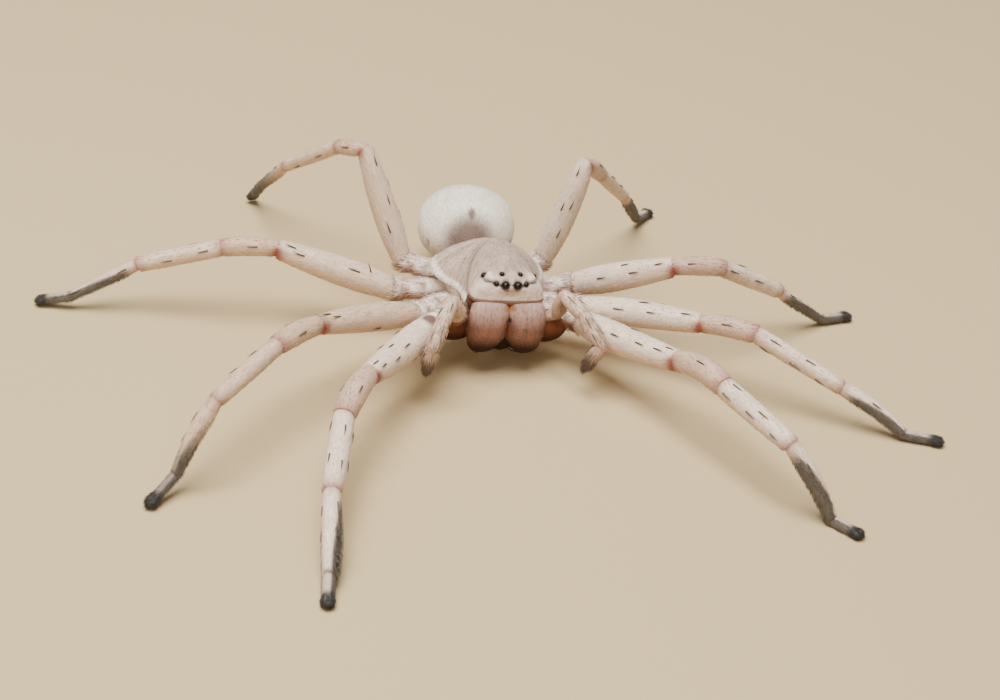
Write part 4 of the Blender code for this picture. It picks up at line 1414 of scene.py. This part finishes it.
@dataclass
class Jaws:
    """The two upright chelicerae and the fang folded under each.

    Each level is z, the half width, the half depth and the middle's x and y.
    """

    levels: tuple[tuple[float, ...], ...] = (
        (2.40, 0.70, 0.45, 2.12, -6.35),
        (2.75, 1.10, 0.76, 2.06, -6.42),
        (3.20, 1.40, 0.96, 1.98, -6.48),
        (3.90, 1.62, 1.06, 1.90, -6.55),
        (4.60, 1.78, 1.12, 1.84, -6.60),
        (5.40, 1.80, 1.12, 1.83, -6.60),
        (6.60, 1.76, 1.02, 1.80, -6.50),
        (7.10, 1.63, 0.93, 1.78, -6.38),
        (7.55, 1.32, 0.76, 1.77, -6.22),
        (7.75, 0.80, 0.45, 1.76, -6.00),
    )
    shift: float = 0.15
    coat_depth: float = 0.03
    squareness: float = 0.8
    inner_flat: float = 0.20
    fang_path: tuple[Place, ...] = (
        (2.15, -6.1, 2.6), (2.1, -5.9, 2.15), (1.5, -5.5, 2.05), (0.9, -5.35, 2.15),
        (0.4, -5.4, 2.4))
    fang_radii: tuple[float, ...] = (0.34, 0.30, 0.27, 0.18, 0.05)

    def sheath(self, side: Side) -> Sheath:
        """One chelicera's skin, tinted, with its hair.

        Args:
            side: which of the two.

        Returns:
            The sheath.
        """
        hand, table = side.hand, np.array(self.levels)
        z = np.concatenate([np.linspace(2.40, 3.2, 12)[:-1], np.linspace(3.2, 7.75, 46)])[:, None]
        wide, deep, x, y = (eased(z, table[:, 0], column) for column in table[:, 1:].T)
        cosine, sine = turns(56)
        across, depth = (
            np.sign(wave) * np.abs(wave) ** self.squareness * (half - self.coat_depth)
            for wave, half in ((cosine, wide), (sine, deep)))
        inward = self.inner_flat * ramp(z, 3.3, 4.4) * np.maximum(-hand * cosine, 0)
        away = hand * x + across - hand * inward
        points = places(away + self.shift, y + depth, z)
        lie = places(1.5 * cosine, 1.5 * sine, z) + np.array([40.0, 9.0 * hand, 0.0])
        sheath = Sheath(points, Tint.JAW_MAUVE, lie, np.array([0.0, -0.15, -1.0]))
        hinge = np.hypot(away / 0.60, (z - 7.30) / 0.48)
        pit = np.hypot(away / 0.24, (z - 6.15) / 0.26)
        # Darker towards the bottom, brown then near black: partly the chelicera's own colour,
        # partly painted shade near the floor. The brown along the inner edge is partly dark hair,
        # partly painted shade between the jaws.
        sheath.lay(
            (Tint.JAW_BROWN, ramp(-z, -7.1, -5.0)),
            (Tint.JAW_DARK, ramp(-z, -4.9, -3.1)),
            (Tint.MOUTH_BROWN, 0.75 * ramp(-hand * away, -1.0, -0.15) * ramp(-z, -7.2, -5.6)),
            (Tint.MOUTH_BROWN, 0.55 * ramp(hand * away, 2.6, 3.5) * ramp(-z, -6.8, -5.0)),
            (Tint.HINGE_ORANGE, 0.9 * ramp(-hinge, -1.2, -0.3)),
            (Tint.JAW_DARK, 0.9 * ramp(-pit, -1.3, -0.6)))
        sheath.hair((Pile.JAW, 1.0), (Pile.JAW_END, ramp(-z, -4.2, -3.6)))
        sheath.dark += 0.12
        return sheath.posed()

    def fang(self, side: Side) -> Sheath:
        """One fang, folded in towards its fellow.

        Args:
            side: which of the two.

        Returns:
            The sheath.
        """
        path = np.array([side.mirrored(point) for point in self.fang_path])
        t, knots = np.linspace(0, 1, 26), np.linspace(0, 1, len(path))
        centre = np.stack([eased(t, knots, column) for column in path.T], axis=-1)
        centre = centre + np.array([self.shift, 0, 0])
        aim = unit(np.gradient(centre, axis=0))
        out = unit(np.cross(aim, np.array([0.0, 1.0, 0.02])))
        half = eased(t, knots, self.fang_radii)
        points = hoops(centre, half, out, np.cross(out, aim), 18)
        return Sheath(points, Tint.JAW_DARK, points, aim[:, None]).posed()


def feed(tree: bpy.types.NodeTree, node: bpy.types.Node, inputs: dict[Any, Any]) -> None:
    """Give a node's sockets their values.

    Args:
        tree: the material's node tree.
        node: the node.
        inputs: for each socket a value, or the socket that feeds it.
    """
    for socket, value in inputs.items():
        if isinstance(value, bpy.types.NodeSocket):
            tree.links.new(value, node.inputs[socket])
        else:
            node.inputs[socket].default_value = value


def add_node(tree: bpy.types.NodeTree, kind: str, inputs: dict[Any, Any], output: Any,
             **settings: Any) -> bpy.types.NodeSocket:
    """Add a node with its inputs and settings.

    Args:
        tree: the material's node tree.
        kind: the node's type.
        inputs: for each socket a value, or the socket that feeds it.
        output: which of its outputs is wanted.
        settings: properties to set on it.

    Returns:
        That output.
    """
    node = tree.nodes.new(kind)
    for key, value in settings.items():
        setattr(node, key, value)
    feed(tree, node, inputs)
    return node.outputs[output]


def noise(tree: bpy.types.NodeTree, place: Any, scale: float, detail: float,
          roughness: float = 0.5) -> bpy.types.NodeSocket:
    """A soft noise, its value about 0.5."""
    return add_node(tree, "ShaderNodeTexNoise", {
        "Vector": place, "Scale": scale, "Detail": detail, "Roughness": roughness}, "Fac")


def spread(tree: bpy.types.NodeTree, value: Any, low: float, high: float) -> bpy.types.NodeSocket:
    """A noise's usual range, 0.3 to 0.7, turned to the range from low to high."""
    return add_node(tree, "ShaderNodeMapRange", {
        "Value": value, "From Min": 0.3, "From Max": 0.7, "To Min": low, "To Max": high}, "Result")


def shaded(tree: bpy.types.NodeTree, shade: Any) -> bpy.types.NodeSocket:
    """The mesh's own tint, made lighter or darker by a shade."""
    tint = add_node(tree, "ShaderNodeAttribute", {}, "Color", attribute_name="tint")
    return add_node(
        tree, "ShaderNodeVectorMath", {0: tint, "Scale": shade}, "Vector", operation="SCALE")


@dataclass(frozen=True)
class Finish:
    """What every finish has: its name, how rough it is and how it bends light."""

    name: str
    roughness: float
    ior: float = 1.55
    sheen: float = 0.0

    def inputs(self, tree: bpy.types.NodeTree) -> dict[str, Any]:
        """The shader inputs of this kind of finish alone."""
        raise NotImplementedError

    def material(self) -> bpy.types.Material:
        """The finish as a material.

        Returns:
            The material.
        """
        material = bpy.data.materials.new(self.name)
        material.use_nodes = True
        tree = material.node_tree
        shared = {"Roughness": self.roughness, "IOR": self.ior, "Sheen Weight": self.sheen}
        feed(tree, tree.nodes["Principled BSDF"], shared | self.inputs(tree))
        return material


@dataclass(frozen=True)
class Cuticle(Finish):
    """Hard skin under short flat hair: matt and soft to the eye, with the hair's fine streaks.

    Real hairs lie about 0.03 mm apart, too fine to show, so the streaks are drawn about
    streak_spacing apart and run along the lie of the coat.
    """

    roughness: float = 0.66
    sheen: float = 0.12
    subsurface: float = 0.12
    specular: float = 0.5
    streak_spacing: float = 0.12
    streak_run: float = 1.1
    streak_depth: float = 0.22
    relief: float = 0.03

    def inputs(self, tree: bpy.types.NodeTree) -> dict[str, Any]:
        """The shader inputs of skin.

        Args:
            tree: the material's node tree.

        Returns:
            Values and sockets by input.
        """
        lie = add_node(tree, "ShaderNodeAttribute", {}, "Vector", attribute_name="lie")
        across, along = 1 / self.streak_spacing, 1 / self.streak_run
        stretched = add_node(tree, "ShaderNodeMapping", {
            "Vector": lie, "Scale": (across, across, along)}, "Vector")
        streak = noise(tree, stretched, 1.0, 3.0, 0.6)
        streaks = spread(tree, streak, 1 - self.streak_depth, 1 + self.streak_depth * 0.45)
        drift = spread(tree, noise(tree, lie, 0.9, 4.0, 0.55), 0.90, 1.05)
        shade = add_node(
            tree, "ShaderNodeMath", {0: streaks, 1: drift}, "Value", operation="MULTIPLY")
        return {
            "Base Color": shaded(tree, shade),
            "Normal": add_node(tree, "ShaderNodeBump", {
                "Height": streak, "Strength": 0.6, "Distance": self.relief * MM}, "Normal"),
            "Specular IOR Level": self.specular,
            "Subsurface Weight": self.subsurface,
            "Subsurface Radius": (1.0, 0.6, 0.45),
            "Subsurface Scale": 0.4 * MM,
        }


@dataclass(frozen=True)
class Hair(Finish):
    """Chitin hair: a soft satin thread that takes the tint of the skin at its root."""

    roughness: float = 0.55
    sheen: float = 0.10

    def inputs(self, tree: bpy.types.NodeTree) -> dict[str, Any]:
        """The shader inputs of hair."""
        lie = add_node(tree, "ShaderNodeAttribute", {}, "Vector", attribute_name="lie")
        return {"Base Color": shaded(tree, spread(tree, noise(tree, lie, 2.5, 2.0), 0.92, 1.08))}


@dataclass(frozen=True)
class Polished(Finish):
    """Smooth hard chitin or cornea, clear and wet to the eye, with a slight drift of tone."""

    tint: Tint = Tint.CORNEA_BLACK

    def inputs(self, tree: bpy.types.NodeTree) -> dict[str, Any]:
        """The shader inputs of polished chitin.

        Args:
            tree: the material's node tree.

        Returns:
            Values and sockets by input.
        """
        place = add_node(tree, "ShaderNodeTexCoord", {}, "Object")
        dark, light = ((*np.clip(self.tint.linear * shade, 0, 1), 1.0) for shade in (0.6, 1.5))
        cloud = noise(tree, place, 4000.0, 2.0)
        return {"Base Color": add_node(
            tree, "ShaderNodeMix", {0: cloud, 6: dark, 7: light}, 2, data_type="RGBA")}


@dataclass(frozen=True)
class Board(Finish):
    """Matt painted board: one even colour with hardly a shine."""

    colour: str = "#C4AE86"

    def inputs(self, tree: bpy.types.NodeTree) -> dict[str, Any]:
        """The shader inputs of painted board."""
        return {"Base Color": (*linear(self.colour), 1.0)}


def add_object(name: str, data: Any, axes: Any = None) -> bpy.types.Object:
    """Make an object and link it to the scene.

    Args:
        name: its name.
        data: its mesh, camera or light.
        axes: its three axes and its place in metres, where they aren't the world's.

    Returns:
        The object.
    """
    made = bpy.data.objects.new(name, data)
    if axes is not None:
        made.matrix_world = Matrix([*np.column_stack(axes).tolist(), [0.0, 0.0, 0.0, 1.0]])
    bpy.context.scene.collection.objects.link(made)
    return made


@dataclass(frozen=True)
class Studio:
    """Pale floor, soft light and the photograph's viewing angle.

    Each lamp is its name, its place in metres, its side in metres, its watts and its colour.
    """

    azimuth: float = -18.2
    elevation: float = 31.0
    roll: float = 5.9
    distance: float = 209.3
    pixels_per_mm: float = 10.68
    aim: Place = (0.0, 0.0, 5.0)
    middle: tuple[float, float] = (489.1, 289.9)
    image: tuple[int, int] = (1000, 700)
    sensor: float = 36.0
    floor_half: float = 1.2
    lamps: tuple[tuple[str, Place, float, float, str], ...] = (
        ("sky", (-0.08, -0.03, 0.42), 0.30, 4.5, "#FFFBF4"),
        ("front_fill", (-0.22, -0.45, 0.26), 0.5, 1.2, "#FFF2E0"))
    ambient: str = "#F2F0EC"
    ambient_strength: float = 0.17

    def camera(self) -> None:
        """Stand the camera where the photograph was taken from."""
        turn, rise, roll = np.radians([self.azimuth, self.elevation, self.roll])
        back = np.array([
            math.sin(turn) * math.cos(rise), -math.cos(turn) * math.cos(rise), math.sin(rise)])
        right = np.array([math.cos(turn), math.sin(turn), 0.0])
        up = np.cross(back, right)
        across = math.cos(roll) * right + math.sin(roll) * up
        upward = -math.sin(roll) * right + math.cos(roll) * up
        data = bpy.data.cameras.new("camera")
        width, height = self.image
        data.sensor_width = self.sensor
        data.lens = self.pixels_per_mm * self.distance * self.sensor / width
        data.shift_x = (width / 2 - self.middle[0]) / width
        data.shift_y = (self.middle[1] - height / 2) / width
        data.clip_start, data.clip_end = 0.01, 5.0
        place = (np.array(self.aim) + FRAME_SHIFT + back * self.distance) * MM
        bpy.context.scene.camera = add_object("camera", data, (across, upward, back, place))

    def floor(self) -> None:
        """Lay a plain pale floor."""
        mesh = bpy.data.meshes.new("floor")
        half = self.floor_half
        corners = [(-half, -half, 0), (half, -half, 0), (half, half, 0), (-half, half, 0)]
        mesh.from_pydata(corners, [], [(0, 1, 2, 3)])
        mesh.materials.append(Board("painted_board", roughness=0.9, ior=1.5).material())
        add_object("floor", mesh)

    def lights(self) -> None:
        """Light the spider from a broad soft sky, a little from its right."""
        for name, place, size, power, colour in self.lamps:
            data = bpy.data.lights.new(name, "AREA")
            data.size, data.energy, data.color = size, power, linear(colour)
            back = unit(np.array(place))
            right = unit(np.cross(UP, back))
            add_object(name, data, (right, np.cross(back, right), back, place))
        world = bpy.data.worlds.new("studio")
        world.use_nodes = True
        feed(world.node_tree, world.node_tree.nodes["Background"], {
            "Color": (*linear(self.ambient), 1.0), "Strength": self.ambient_strength})
        bpy.context.scene.world = world


def dress(name: str, soup: Soup, finish: bpy.types.Material, slot: str, *nodes: str) -> None:
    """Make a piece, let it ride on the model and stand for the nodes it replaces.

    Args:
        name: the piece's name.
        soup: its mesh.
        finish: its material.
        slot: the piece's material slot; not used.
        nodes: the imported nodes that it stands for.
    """
    piece = soup.make(name, finish)
    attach(piece, "root")
    if nodes:
        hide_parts(*nodes)


def main() -> None:
    """Build the spider's looks, piece by piece."""
    logging.basicConfig(level=logging.INFO, format="%(message)s")
    studio = Studio()
    studio.camera()
    studio.floor()
    studio.lights()

    skin_finish = Cuticle("haired_cuticle").material()
    shell_finish = Cuticle("carapace_cuticle", roughness=0.58, streak_spacing=0.15,
                           streak_run=1.4, streak_depth=0.34).material()
    jaw_finish = Cuticle("chelicera_cuticle", roughness=0.52, sheen=0.0, specular=0.12,
                         subsurface=0.03, streak_spacing=0.14, streak_run=2.2,
                         streak_depth=0.20).material()
    hair_finish = Hair("pale_setae").material()
    spine_finish = Hair("spine_chitin", roughness=0.4, sheen=0.0).material()
    eye_finish = Polished("cornea", roughness=0.34, ior=1.38).material()
    fang_finish = Polished(
        "fang_chitin", roughness=0.22, ior=1.56, tint=Tint.FANG_BROWN).material()

    legs = [Leg(pair, side) for pair, side in STANCES]
    leg_skins = [leg.sheath() for leg in legs]
    palp_skins = [palp.sheath() for palp in PALPS]
    abdomen, carapace = Abdomen().sheath(), Carapace().sheath()
    underside, mouth_parts = Underside().sheaths(), Underside().mouth_parts()
    jaws = Jaws()
    jaw_skins = {side: jaws.sheath(side) for side in Side}

    names = sorted(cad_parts)
    flesh = [name for name in names
             if name.startswith(("leg_", "palp_", "abdomen", "sternum", "spinnerets"))]
    dress("skin", Soup.of(*leg_skins, *palp_skins, abdomen, *underside), skin_finish,
          "hair_cream", *flesh)
    dress("carapace_shell", Soup.of(carapace), shell_finish, "carapace_beige", "carapace")
    dress("mouth_parts", Soup.of(*mouth_parts), jaw_finish, "chelicera_mauve")
    for side, sheath in jaw_skins.items():
        dress(f"jaw_{side.value}", Soup.of(sheath), jaw_finish, "chelicera_mauve",
              f"chelicera_{side.value}")
        dress(f"fang_blade_{side.value}", Soup.of(jaws.fang(side)), fang_finish, "fang_black",
              f"fang_{side.value}")
    for name in names:
        if name.startswith("eye_"):
            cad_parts[name].material_slots[0].material = eye_finish
            LOG.info("%s: given its cornea", name)

    spines = Soup()
    for limb in (*legs, *PALPS):
        limb.spines(spines)
    dress("leg_spines", spines, spine_finish, "hair_cream")
    coats = [(leg.name, [sheath], "hair_cream") for leg, sheath in zip(legs, leg_skins)] + [
        ("palps", palp_skins, "hair_cream"),
        ("abdomen", [abdomen], "abdomen_cream"),
        ("underside", underside, "hair_cream"),
        ("carapace", [carapace], "carapace_beige"),
        ("jaws", list(jaw_skins.values()), "chelicera_mauve")]
    for place, sheaths, slot in coats:
        name = f"coat_{place}"
        dress(name, Coat().grow(name, sheaths), hair_finish, slot)


if __name__ == "__main__":
    main()
